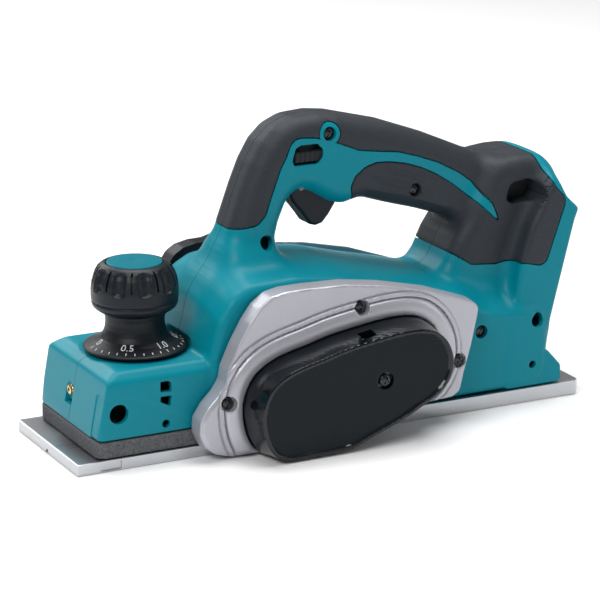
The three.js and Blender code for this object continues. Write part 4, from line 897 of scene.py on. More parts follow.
    def shell(self) -> Form:
        """Gives the hollow casing with its holes and windows."""
        outer = self.outer()
        inner = outer.grown(-WALL)
        pocket = (self.mask(-GAP) - outer.grown(-SKIN - GAP)) - self.screw_ring(6.2)
        walls = outer - inner
        x_grip, z_grip, _ = self.screws[1]
        for x, z, y in self.screws:
            walls = walls | (rod((x, z), 6.4, -abs(y), -4, 0.2) & outer.grown(-0.8))
        walls = walls - pocket - (rod((x_grip, z_grip), 6.9, -60, -8.7, 0) | rod((x_grip, z_grip), 6.9, 8.7,
                                                                                 60, 0))
        walls = walls - rod(DRUM, ARCH_RADIUS, -80, 80, 0)
        walls = walls - block((DRUM[0] - 33, -80, -5), (DRUM[0] + 33, 80, DRUM[1]), 0.1)
        walls = walls - block((-197, -30, 0), (-122, 30, 28), 0.5)
        walls = walls - upright((KNOB_X, 0), 6.3, 40, 60)
        walls = walls - rod(MOTOR, 12, -80, -10)
        walls = walls - block((-126.5, 20, 62), (-83.5, 80, 82), 0.5)
        walls = walls - block((-82.5, -8.1, 100), (-46.5, 8.1, 139), 0.5)
        walls = walls - bar(self.window_outline, -60, 60, 0.1)
        walls = walls - self.seat(0.16, 1.3, -9, 12, self.mount_half - 8)
        for x, z, y in self.screws:
            walls = walls - (rod((x, z), 3.9, y - 6, y + 4.1, 0.1) | rod((x, z), 3.9, -y - 4.1, -y + 6, 0.1))
        for side in (-1, 1):
            walls = walls - self.side_holes(side)
        walls = walls - bar(self.cup_outline, -60, -12, 0.2) - bar(self.cup_outline, 12, 60, 0.2)
        return walls.carve(self.insert_seat(4.2, -230, -204.6), 0.8)

    @staticmethod
    def insert_seat(radius: float, front: float, back: float) -> Form:
        """Gives a round bar along X about the brass insert."""
        low, high = box_mm("brass_insert")
        y, z = (low[1] + high[1]) / 2, (low[2] + high[2]) / 2

        def distance(p: np.ndarray) -> np.ndarray:
            around = np.hypot(p[:, 1] - y, np.clip(p[:, 2] - z, 0, None)) * (p[:, 2] > z)
            around = np.where(p[:, 2] > z, around, np.abs(p[:, 1] - y)) - radius
            below = z - 7.5 - p[:, 2]
            along = np.abs(p[:, 0] - (front + back) / 2) - (back - front) / 2
            return _edge(np.maximum(around, below), along, 0.4)

        return Form(distance)

    @staticmethod
    def side_holes(side: int) -> Form:
        """Gives the holes and windows of one side."""
        y0, y1 = (-60, -33.5) if side < 0 else (33.5, 60)
        holes = rod((-196.4, 30.6), 5.4, y0, y1) | rod((-169, 21.3), 2.3, y0, y1)
        holes = holes | rod((63, 48), 4.2, y0 + 2, y1 - 2) | rod((60, 22), 2.2, y0, y1)
        holes = holes | rod((-97, 107), 4.1, min(y0, side * 9), max(y1, side * 9))
        upper = Outline(rounded(((-172.4, 39.6), (-165.8, 39.2), (-165.8, 43.5), (-167.4, 45.4),
                                 (-172.4, 45.4)), 0.6))
        lower = Outline(rounded(((-172.4, 37), (-165.8, 37), (-166.6, 30.8), (-172.4, 34)), 0.6))
        return holes | bar(upper, y0, y1, 0.1) | bar(lower, y0, y1, 0.1)

    def half(self, side: int) -> Form:
        """Gives one half of the casing, cut at the middle seam."""
        return self.shell() & Form(lambda p: -side * p[:, 1] + GAP / 2)

    def skin(self, side: int) -> Form:
        """Gives one half of the soft skin, with the ridges of the palm pad."""
        outer = self.outer()
        x_front, z_front, _ = self.screws[2]

        def ridges(p: np.ndarray) -> np.ndarray:
            height = np.zeros(len(p))
            for line in self.ridge_lines:
                ends = np.array(line, float)
                knots = np.interp(p[:, 0], ends[:, 0], ends[:, 1])
                across = (p[:, 2] - knots) / 1.5
                along = ramp(p[:, 0], ends[0, 0], ends[0, 0] + 12) * ramp(-p[:, 0], -ends[-1, 0],
                                                                          12 - ends[-1, 0])
                height = np.maximum(height, np.exp(-across * across) * along)
            return 1.0 * height * (np.abs(p[:, 1]) > 9)

        def distance(p: np.ndarray) -> np.ndarray:
            body = outer(p)
            cover = np.maximum(body - 0.15 - ridges(p), -(body + SKIN))
            value = -softest(-cover, -(self.skin_outline(p[:, 0], p[:, 2]) + 0.35), 1.0)
            value = np.maximum(value, -self.screw_ring(6.8)(p))
            return np.maximum(value, -side * p[:, 1] + GAP / 2)

        form = Form(distance)
        x, z, y = self.screws[1]
        lining = (rod((x, z), 6.6, -60, -9, 0) | rod((x, z), 6.6, 9, 60, 0)) & Form(outer).grown(-0.3)
        form = form | (lining & Form(lambda p: -side * p[:, 1]))
        form = form.carve(rod((x, z), 3.75, -60, 60, 0), 0.9)
        form = form - self.seat(0.10, 1.3, -9, 14, self.mount_half - 8)
        oval = Outline(rounded(((50, 116), (53, 125.5), (66, 127), (70, 122.5), (68.5, 114.8), (55, 113)),
                               5.5))
        form = form.carve(bar(oval, -60, 60, 0.2), 1.6)
        cup = bar(self.cup_outline, -44, -12.5, 0.4) if side < 0 else bar(self.cup_outline, 12.5, 44, 0.4)
        hollow = bar(oval, -60, -14.2, 0.3) | bar(oval, 14.2, 60, 0.3)
        form = form | ((cup & Form(outer).grown(-0.8)) - hollow)
        return form - bar(self.window_outline, -60, 60, 0.1)

    def make(self, shop: Workshop) -> None:
        """Meshes both halves and both skins."""
        skinner = Skinner(cell=0.95, most=170_000)
        low, high = (-214, -44, 6), (96, 44, 178)
        for side, word in ((-1, "left"), (1, "right")):
            a = (low[0], -44 if side < 0 else -1, low[2])
            b = (high[0], 1 if side < 0 else 44, high[2])
            mesh = skinner.cover(f"housing_{word}_shell", self.half(side), a, b)
            shop.add(mesh, f"housing_{word}_shell", "root", [TEAL], [f"housing_{word}"])
            mesh = Skinner(cell=0.9, most=150_000).cover(
                f"grip_skin_{word}_pad", self.skin(side), (-132, a[1], 76), (94, b[1], 178))
            shop.add(mesh, f"grip_skin_{word}_pad", "root", [ELASTOMER], [f"grip_skin_{word}"])


# ------------------------------------------------------------------ side frame and covers


@dataclass
class BeltSide:
    """The silver side frame and the black belt case on the left."""

    frame_points: tuple = ((-137, 1), (-146, 3.5), (-152, 8), (-155.5, 16), (-155, 24), (-150.5, 31),
                           (-144, 37.5),
                           (-140, 43.5), (-138.5, 51), (-133, 63), (-126, 75), (-120, 83), (-112.5, 88.3),
                           (-104, 90), (-91, 90.2), (-67, 89.4), (-44, 86), (-15, 79.3), (3.7, 72.8),
                           (13.2, 69.2),
                           (16.6, 66), (16.1, 60.7), (12.4, 43.8), (8, 28.3), (5.6, 18), (1, 14.6), (-44, 12),
                           (-86, 9.2), (-92.5, 1))
    case_points: tuple = ((-127.7, 25.8), (-126.5, 34.7), (-123.2, 41.9), (-116.9, 47.7), (-107.2, 52.1),
                          (-92.2, 55.8), (-77.1, 59.6), (-58.9, 62.5), (-43.5, 64.3), (-31.1, 64.2),
                          (-22.0, 61.6),
                          (-14.8, 54.8), (-11.2, 45.3), (-12.4, 35.4), (-18.6, 26.9), (-30.3, 20.2),
                          (-42.7, 14.1),
                          (-59.7, 7.6), (-73.0, 2.6), (-84.0, 1.6), (-96.4, 1.4), (-111.5, 1.3),
                          (-119.8, 5.1),
                          (-125.3, 13.5))
    screws: tuple = ((-138.5, 32.0), (-58.0, 75.0), (4.0, 36.0))
    case_screw: tuple = (-53.0, 38.0)
    flare: float = 3.0
    collar_reach: float = 9.8
    collar_height: float = 3.0
    wall: float = 2.4

    def __post_init__(self) -> None:
        """Draws the outlines once."""
        self.frame_outline = Outline(rounded(self.frame_points, 6))
        self.case_outline = Outline(curve_through(self.case_points))

    def frame_form(self) -> Form:
        """Gives the frame: a flat face with a bevelled band and a raised collar round the belt case."""
        outer_y, inner_y = FACE_Y, FRAME_HIGH[1]

        def distance(p: np.ndarray) -> np.ndarray:
            x, y, z = p[:, 0], p[:, 1], p[:, 2]
            flat = self.frame_outline(x, z)
            case = self.case_outline(x, z) - self.flare
            share = np.clip(1 - case / self.collar_reach, 0, 1)
            collar = self.collar_height * np.sqrt(np.clip(1 - (1 - share) ** 2.2, 0, 1)) * (share > 0)
            collar = collar * (1 - 0.4 * share ** 4) * ramp(-flat, 1.0, 4.0) * ramp(case, 0.1, 0.5)
            band = 0.55 * ramp(case, self.collar_reach + 0.3, self.collar_reach + 0.9)
            band = band * ramp(-case, -self.collar_reach - 3.3, -self.collar_reach - 2.7) * ramp(-flat, 1.0,
                                                                                                 4.0)
            groove = 0.8 * np.exp(-((case - self.collar_reach - 0.1) / 0.5) ** 2)
            groove = groove + 0.6 * np.exp(-((case - self.collar_reach - 3.4) / 0.5) ** 2)
            rim = 0.55 * ramp(-flat, 2.6, 2.1) * ramp(-x, 128, 138) * ramp(-z, -46, -36)
            top = outer_y - collar - band + groove + rim
            value = _edge(flat + 0.5 * ramp(-y, 46, 54), np.maximum(top - y, y - inner_y) * 0.86, 1.1)
            pocket = np.maximum(np.maximum(flat + 4, -(y - outer_y - 4.0)), y - inner_y - 2)
            return np.maximum(value, -pocket)

        form = Form(distance)
        form = form | rod(DRUM, 17, outer_y + 2, inner_y) | rod(MOTOR, 13.5, outer_y + 2, inner_y)
        form = form | rod(self.case_screw, 5, CASE_LOW[1] + 6.0, outer_y + 5)
        for x, z in self.screws:
            form = form | (rod((x, z), 6.5, outer_y + 3,
                               inner_y) & Form(lambda p: self.frame_outline(p[:, 0], p[:, 2]) + 0.6))
        form = form - rod(DRUM, 13.3, outer_y + 2.8, 0) - rod(DRUM, 8, outer_y - 6, 0)
        form = form - rod(MOTOR, 9.8, outer_y + 4.0, 0) - rod(MOTOR, 7, outer_y - 6, 0)
        for x, z in self.screws:
            form = form.carve(rod((x, z), 4.3, outer_y - 9, outer_y + 2.9, 0.2), 0.6) - rod((x, z), 2.3,
                                                                                            outer_y, 0)
        return form - rod(self.case_screw, 2.3, -90, 0)

    def case_form(self) -> Form:
        """Gives the belt case: flared wall, proud rim, sunk face and screw seat."""
        outer_y, inner_y = CASE_LOW[1], CASE_HIGH[1]

        def distance(p: np.ndarray) -> np.ndarray:
            x, y, z = p[:, 0], p[:, 1], p[:, 2]
            share = np.clip((y - outer_y) / (inner_y - outer_y), 0, 1)
            flat = self.case_outline(x, z)
            side = flat - self.flare * share ** 1.3
            sunk = outer_y + 1.1 * ramp(-flat, 1.9, 3.1)
            value = _edge(side, np.maximum(sunk - y, y - inner_y), 0.8) * 0.93
            hollow = np.maximum(side + self.wall, -(y - outer_y - self.wall - 1.0))
            return np.maximum(value, -hollow)

        form = Form(distance)
        form = form | (rod(self.case_screw, 7, outer_y + 1.5, outer_y + 5.7))
        form = form.carve(rod(self.case_screw, 4.7, outer_y - 2, outer_y + 4.2, 0.2), 0.8)
        form = form - rod(self.case_screw, 2.3, outer_y - 1, 0)
        form = form - block((-65, outer_y + 5, 57.5), (-56.5, outer_y + 12.5, 72), 0.4)
        form = form | (block((-66, outer_y + 4, 55.4), (-55.5, outer_y + 13.5, 59.5), 0.4)
                       & Form(lambda p: self.case_outline(p[:, 0], p[:, 2]) + 1.2))
        return form & half_space((0, 0, -1), (0, 0, 1))

    def make(self, shop: Workshop) -> None:
        """Meshes the frame and the case."""
        skinner = Skinner(cell=0.8, most=150_000)
        low, high = (-159, FRAME_LOW[1] - 16, -1), (27, FRAME_HIGH[1] + 1, 93)
        mesh = skinner.cover("side_frame_casting", self.frame_form(), low, high)
        shop.add(mesh, "side_frame_casting", "root", [SILVER], ["side_frame"])
        low, high = (-134, CASE_LOW[1] - 1, 0), (-3, CASE_HIGH[1] + 1, 70)
        mesh = Skinner(cell=0.7, most=150_000).cover("belt_case", self.case_form(), low, high)
        centres = np.empty(len(mesh.polygons) * 3)
        mesh.polygons.foreach_get("center", centres)
        centres = centres.reshape(-1, 3) / MM
        inside = self.case_outline(centres[:, 0], centres[:, 2]) < -2.9
        face = inside & (centres[:, 1] < CASE_LOW[1] + 1.4)
        piece = shop.add(mesh, "belt_case", "root", [GLOSS, SATIN], ["belt_cover"])
        piece.data.polygons.foreach_set("material_index", face.astype(np.int32))


@dataclass
class ChipSide:
    """The silver cover and the black chip duct on the right."""

    cover_points: tuple = ((-132.5, 1), (-137, 6), (-139.5, 16), (-139.5, 52), (-133.5, 66), (-120.5, 84),
                           (-113, 88),
                           (-104.5, 90), (-66.5, 89.2), (-44, 86.4), (-15, 80), (14, 70), (18.5, 62),
                           (14, 40),
                           (10, 22), (4, 9.2), (-86.5, 9.2), (-92.5, 1))

    def __post_init__(self) -> None:
        """Draws the outline once."""
        self.outline = Outline(rounded(self.cover_points, 5))

    def cover_form(self) -> Form:
        """Gives the cover with its bearing hub, chip exit and cooling slots."""
        inner_y, outer_y = SOLE_HALF + 0.3, GUARD_HIGH[1]

        def distance(p: np.ndarray) -> np.ndarray:
            x, y, z = p[:, 0], p[:, 1], p[:, 2]
            flat = self.outline(x, z)
            bevel = 1.3 * np.clip((flat + 3.5) / 3.5, 0, 1)
            dish = 0.7 * ramp(-flat, 9, 11)
            value = np.maximum(y + bevel + dish - outer_y, inner_y - y)
            ring = np.hypot(x - DRUM[0], z - DRUM[1])
            value = value - 0.7 * ramp(ring, 19.5, 18.2) * (y > inner_y + 1.5)
            return _edge(flat, value, 0.6)

        form = Form(distance) | rod(DRUM, 13.2, GUARD_LOW[1], inner_y + 1)
        form = form - rod(DRUM, 11.3, 0, GUARD_LOW[1] + 7.4)
        form = form - block((-126.5, 0, 62), (-83.5, 90, 82), 0.5)
        for index in range(4):
            x = MOTOR[0] - 12 + index * 9
            form = form - block((x, 30, MOTOR[1] - 12), (x + 5, 60, MOTOR[1] + 12), 1.5)
        return form

    def duct_form(self) -> Form:
        """Gives the duct: a flat plenum on the cover that turns into a round hose spigot."""
        y0 = DUCT_LOW[1]
        low, high = np.array((-129.5, y0, 58.0)), np.array((-80.5, y0 + 18, 94.0))
        yaw = math.radians(42)
        axis = np.array((math.cos(yaw), math.sin(yaw), 0.0))
        start = np.array((DRUM[0] + 20, y0 + 4, 76.0))

        def spigot(radius: float, length: float) -> Form:
            def distance(p: np.ndarray) -> np.ndarray:
                along = (p - start) @ axis
                around = np.linalg.norm(p - start - along[:, None] * axis, axis=1)
                ribs = 0.35 * (np.mod(along, 6.0) < 1.6) * (along > 20) * (radius > 18)
                return _edge(around - radius - ribs, np.abs(along - length / 2) - length / 2, 0.6)
            return Form(distance)

        shape = Outline(rounded(((low[0], low[2]), (low[0], 76), (low[0] + 1.5, 82.5), (low[0] + 5.5, 88),
                                 (low[0] + 11, 91.5), (low[0] + 19, 93.2), (high[0], high[2]),
                                 (high[0], low[2])), 6))
        plenum = bar(shape, y0 - 12, high[1], 9)
        outer = plenum.blend(spigot(19.2, 30.0), 7) & half_space((0, -1, 0), (0, y0, 0))
        room = bar(shape, y0 - 12, high[1], 9).grown(-2.5) & half_space((0, -1, 0), (0, y0 + 2.5, 0))
        bore = spigot(17, 40.0) & half_space((0, 0, -1), (0, 0, 60.5))
        mouth = block((-126.5, y0 - 5, 62), (-83.5, y0 + 5, 82), 0.5)
        return outer - (room | (bore & half_space((0, -1, 0), (0, y0 + 2.5, 0)))) - mouth

    def make(self, shop: Workshop) -> None:
        """Meshes the cover and the duct."""
        mesh = Skinner(cell=0.8, most=90_000).cover(
            "right_guard", self.cover_form(), (-142, GUARD_LOW[1] - 1, 0), (21, GUARD_HIGH[1] + 1, 92))
        shop.add(mesh, "right_guard", "root", [SILVER], ["right_cover"])
        mesh = Skinner(cell=0.9, most=70_000).cover(
            "chip_duct_elbow", self.duct_form(), DUCT_LOW - 1, DUCT_HIGH + 1)
        shop.add(mesh, "chip_duct_elbow", "root", [BLACK], ["chip_duct"])


# ------------------------------------------------------------------ soles and foam


@dataclass
class Soles:
    """The two aluminium bases and the foam seal over the front one."""

    rear_thickness: float = 8.5
    front_thickness: float = 6.5
    arch_inner: float = 28.5
    lift: float = 2.0
    arch_outer: float = 33.0
    groove_half: float = 3.2
    foot_pin: tuple[float, float] = (70.0, 4.4)

    def rear_form(self) -> Form:
        """Gives the rear base: milled plate, chamfered tail, chip arch and the slot of the rest foot."""
        low, high = REAR_LOW, REAR_HIGH
        slab = block((low[0], low[1], 0), (high[0], high[1], self.rear_thickness), 0.7)
        slab = slab & half_space((1, 0, -1), (high[0] - 2.6, 0, 0))
        for side in (-1, 1):
            slab = slab & half_space((1, side, 0), (high[0] - 3, side * SOLE_HALF, 0))
        ring = rod(DRUM, self.arch_outer, low[1], high[1], 0.3) - rod(DRUM, self.arch_inner, -60, 60, 0)
        ring = ring & half_space((-1, 0, 0.32), (DRUM[0] + 9, 0, DRUM[1] + self.arch_inner))
        ring = ring & Form(lambda p: np.where(p[:, 2] < 6, low[0] - 6 - p[:, 0], -1.0))
        foot_low, foot_high = box_mm("rest_foot")
        slot = block((foot_low[0] - 2, foot_low[1] - 0.4, -2), (foot_high[0] + 5, foot_high[1] + 0.4, 7.3),
                     0.6)
        pin_low, pin_high = box_mm("foot_pin")
        pin = rod(self.foot_pin, 1.8, pin_low[1] - 0.5, pin_high[1] + 0.5)
        return (slab | ring) - rod(DRUM, self.arch_inner, -60, 60, 0) - slot - pin

    def front_form(self) -> Form:
        """Gives the front base with its edge-chamfering groove, threaded tower and guide lugs."""
        low, high = NOSE_LOW, NOSE_HIGH
        slab = block((low[0], -SOLE_HALF, 0), (high[0], SOLE_HALF, self.front_thickness), 0.6)
        groove = Form(lambda p: (np.abs(p[:, 1]) + p[:, 2] - self.groove_half) * 0.7)
        pocket = block((low[0] + 13.5, -SOLE_HALF - 4, 1.0), (low[0] + 25.5, -SOLE_HALF + 0.6, 5.6), 0.2)
        tower = upright((KNOB_X, 0), 13, 3, 34, 0.6)
        shape = (slab - pocket).blend(tower, 3)
        for side in (-1, 1):
            y = side * (SOLE_HALF - 16)
            shape = shape | block((KNOB_X + 22, y - 3, 3), (KNOB_X + 30, y + 3, 30), 0.5)
        for lift in (0.0, self.lift / 2, self.lift):
            shape = shape - rod((DRUM[0], DRUM[1] - lift), self.arch_inner - 0.2, -60, 60, 0)
        return shape - groove - upright((KNOB_X, 0), 6.3, 9, 40)

    def foam_form(self) -> Form:
        """Gives the foam seal as an open ring with burst cells in its faces."""
        low, high = SEAL_LOW, SEAL_HIGH
        outline = Outline(rounded(((low[0], low[1]), (high[0], low[1]), (high[0], high[1]),
                                   (low[0], high[1])), 5))
        inner = Outline(rounded(((low[0] + 8, low[1] + 8), (high[0] + 20, low[1] + 8),
                                 (high[0] + 20, high[1] - 8), (low[0] + 8, high[1] - 8)), 3))

        def distance(p: np.ndarray) -> np.ndarray:
            x, y, z = p.T
            cells = (np.sin(x * 2.3 + 2.0 * np.sin(y * 1.3)) * np.sin(y * 2.6 + 1.4 * np.sin(z * 1.9))
                     * np.sin(z * 2.4 + 1.7 * np.sin(x * 1.6)))
            middle, half = (low[2] + high[2]) / 2, (high[2] - low[2]) / 2
            ring = np.maximum(outline(x, y), -inner(x, y))
            return _edge(ring, np.abs(z - middle) - half, 0.8) + 0.22 * np.maximum(cells, 0)

        return Form(distance)

    def make(self, shop: Workshop) -> None:
        """Meshes the bases and the seal."""
        mesh = Skinner(cell=0.9, most=90_000).cover("rear_sole_plate", self.rear_form(), REAR_LOW - 1,
                                                    REAR_HIGH + 1)
        shop.add(mesh, "rear_sole_plate", "root", [ALUMINIUM], ["rear_base"])
        mesh = Skinner(cell=0.8, most=80_000).cover("front_sole_plate", self.front_form(), NOSE_LOW - 1,
                                                    NOSE_HIGH + 1)
        shop.add(mesh, "front_sole_plate", "front_base", [ALUMINIUM], ["front_base"])
        mesh = Skinner(cell=0.65, most=90_000).cover("foam_gasket", self.foam_form(), SEAL_LOW - 1,
                                                     SEAL_HIGH + 1)
        piece = shop.add(mesh, "foam_gasket", "root", [FOAM], ["foam_seal"], crease=60)
        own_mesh(piece)


# ------------------------------------------------------------------ geometry node benches


class Bench:
    """Builds a Geometry Nodes tree with named inputs and runs it once on a mesh of points."""

    def __init__(self, name: str, inputs: dict[str, float]) -> None:
        """Starts a tree.

        Args:
            name: name of the tree.
            inputs: names and values of its number inputs.
        """
        self.tree = bpy.data.node_groups.new(name, "GeometryNodeTree")
        self.tree.interface.new_socket("Geometry", in_out="INPUT", socket_type="NodeSocketGeometry")
        self.inputs = inputs
        for key in inputs:
            self.tree.interface.new_socket(key, in_out="INPUT", socket_type="NodeSocketFloat")
        self.tree.interface.new_socket("Geometry", in_out="OUTPUT", socket_type="NodeSocketGeometry")
        self.given = self.tree.nodes.new("NodeGroupInput")
        self.result = self.tree.nodes.new("NodeGroupOutput")

    def node(self, kind: str, values: dict[str, object] | None = None, **settings: object) -> bpy.types.Node:
        """Adds a node.

        Args:
            kind: the node's type.
            values: socket names or numbers with a value or a socket to link.
            settings: the node's own settings.
        """
        made = self.tree.nodes.new(kind)
        for key, value in settings.items():
            setattr(made, key, value)
        for key, value in (values or {}).items():
            socket = made.inputs[key]
            if isinstance(value, bpy.types.NodeSocket):
                self.tree.links.new(value, socket)
            else:
                socket.default_value = value
        return made

    def finish(self, shape: bpy.types.NodeSocket, material: bpy.types.Material) -> None:
        """Ends the tree with realised instances and a material."""
        real = self.node("GeometryNodeRealizeInstances", {0: shape})
        dressed = self.node("GeometryNodeSetMaterial", {"Geometry": real.outputs[0], "Material": material})
        self.tree.links.new(dressed.outputs[0], self.result.inputs[0])

    def run(self, name: str, points: Sequence[Sequence[float]]) -> bpy.types.Mesh:
        """Runs the tree on points in metres and gives a plain mesh."""
        seedbed = bpy.data.meshes.new(name + "_points")
        seedbed.from_pydata([tuple(p) for p in points], [], [])
        holder = bpy.data.objects.new(name + "_points", seedbed)
        bpy.context.scene.collection.objects.link(holder)
        modifier = holder.modifiers.new("bench", "NODES")
        modifier.node_group = self.tree
        for item in self.tree.interface.items_tree:
            if item.in_out == "INPUT" and item.name in self.inputs:
                modifier[item.identifier] = float(self.inputs[item.name])
        graph = bpy.context.evaluated_depsgraph_get()
        mesh = bpy.data.meshes.new_from_object(holder.evaluated_get(graph))
        holder.modifiers.remove(modifier)
        bpy.data.objects.remove(holder)
        work = bmesh.new()
        work.from_mesh(mesh)
        bmesh.ops.recalc_face_normals(work, faces=work.faces)
        work.to_mesh(mesh)
        work.free()
        return mesh


@dataclass(frozen=True)
class CrossScrew:
    """A cross-recess screw with a domed head, drawn along -Y."""

    head_radius: float = 3.6
    head_depth: float = 2.6
    shank_radius: float = 2.0
    length: float = 10.0

    def bench(self, material: bpy.types.Material) -> Bench:
        """Builds the tree that sets one screw on every point, its head towards -Y."""
        bench = Bench("cross_screws",
                      {"Head Radius": self.head_radius * MM, "Head Depth": self.head_depth * MM,
                                       "Shank Radius": self.shank_radius * MM, "Length": self.length * MM})
        given = bench.given.outputs

        def scaled(socket: bpy.types.NodeSocket, factor: float) -> bpy.types.NodeSocket:
            return bench.node("ShaderNodeMath", {0: socket, 1: factor}, operation="MULTIPLY").outputs[0]

        def moved(shape: bpy.types.NodeSocket, z: bpy.types.NodeSocket) -> bpy.types.NodeSocket:
            spot = bench.node("ShaderNodeCombineXYZ", {"Z": z}).outputs[0]
            return bench.node("GeometryNodeTransform", {"Geometry": shape, "Translation": spot}).outputs[0]

        dome = bench.node("GeometryNodeMeshUVSphere",
                          {"Segments": 40, "Rings": 24, "Radius": given["Head Radius"]})
        flat = bench.node("GeometryNodeTransform", {"Geometry": dome.outputs[0], "Scale": (1.0, 1.0, 0.42)})
        lifted = moved(flat.outputs[0], scaled(given["Head Depth"], -0.58))
        skirt = bench.node("GeometryNodeMeshCylinder",
                           {"Vertices": 40, "Radius": scaled(given["Head Radius"], 0.995),
                                                        "Depth": scaled(given["Head Depth"], 0.45)})
        low = moved(skirt.outputs[0], scaled(given["Head Depth"], -0.76))
        shank = bench.node("GeometryNodeMeshCylinder", {"Vertices": 24, "Radius": given["Shank Radius"],
                                                        "Depth": given["Length"]})
        sunk = bench.node("ShaderNodeMath",
                          {0: scaled(given["Length"], -0.5), 1: scaled(given["Head Depth"], 0.7)},
                          operation="SUBTRACT").outputs[0]
        stem = moved(shank.outputs[0], sunk)
        body = bench.node("GeometryNodeMeshBoolean", {"Mesh 2": lifted}, operation="UNION", solver="EXACT")
        bench.tree.links.new(low, body.inputs["Mesh 2"])
        bench.tree.links.new(stem, body.inputs["Mesh 2"])
        arm = scaled(given["Head Radius"], 1.25)
        slim = scaled(given["Head Radius"], 0.25)
        deep = scaled(given["Head Depth"], 0.9)
        size_a = bench.node("ShaderNodeCombineXYZ", {"X": arm, "Y": slim, "Z": deep}).outputs[0]
        size_b = bench.node("ShaderNodeCombineXYZ", {"X": slim, "Y": arm, "Z": deep}).outputs[0]
        cut = bench.node("GeometryNodeMeshBoolean", {"Mesh 1": body.outputs[0]}, operation="DIFFERENCE",
                         solver="EXACT")
        for size in (size_a, size_b):
            cross = bench.node("GeometryNodeMeshCube", {"Size": size})
            bench.tree.links.new(moved(cross.outputs[0], scaled(given["Head Depth"], 0.1)),
                                 cut.inputs["Mesh 2"])
        turned = bench.node("GeometryNodeTransform", {"Geometry": cut.outputs[0],
                                                      "Rotation": (math.pi / 2, 0.0, 0.0)})
        twisted = bench.node("GeometryNodeTransform",
                             {"Geometry": turned.outputs[0], "Rotation": (0.0, 0.5, 0.0)})
        copies = bench.node("GeometryNodeInstanceOnPoints", {"Points": given["Geometry"],
                                                             "Instance": twisted.outputs[0]})
        bench.finish(copies.outputs[0], material)
        return bench


@dataclass
class Fasteners:
    """The screws of the casing, the side frame and the belt case."""

    def make(self, shop: Workshop) -> None:
        """Sets a screw at the head of every screw of the frame."""
        names = ("housing_screw_rear", "housing_screw_grip", "housing_screw_front", "side_frame_screw_front",
                 "side_frame_screw_top", "side_frame_screw_rear", "belt_cover_screw")
        material = shop.palette.of(DARK_STEEL)
        for name in names:
            low, high = box_mm(name)
            length = high[1] - low[1]
            bench = CrossScrew(head_radius=(high[0] - low[0]) / 2, length=length - 2.0).bench(material)
            spot = ((low[0] + high[0]) / 2 * MM, low[1] * MM, (low[2] + high[2]) / 2 * MM)
            mesh = bench.run(name, [spot])
            shop.add(mesh, name + "_cross", "root", [DARK_STEEL], [name], crease=30)


# ------------------------------------------------------------------ depth knob


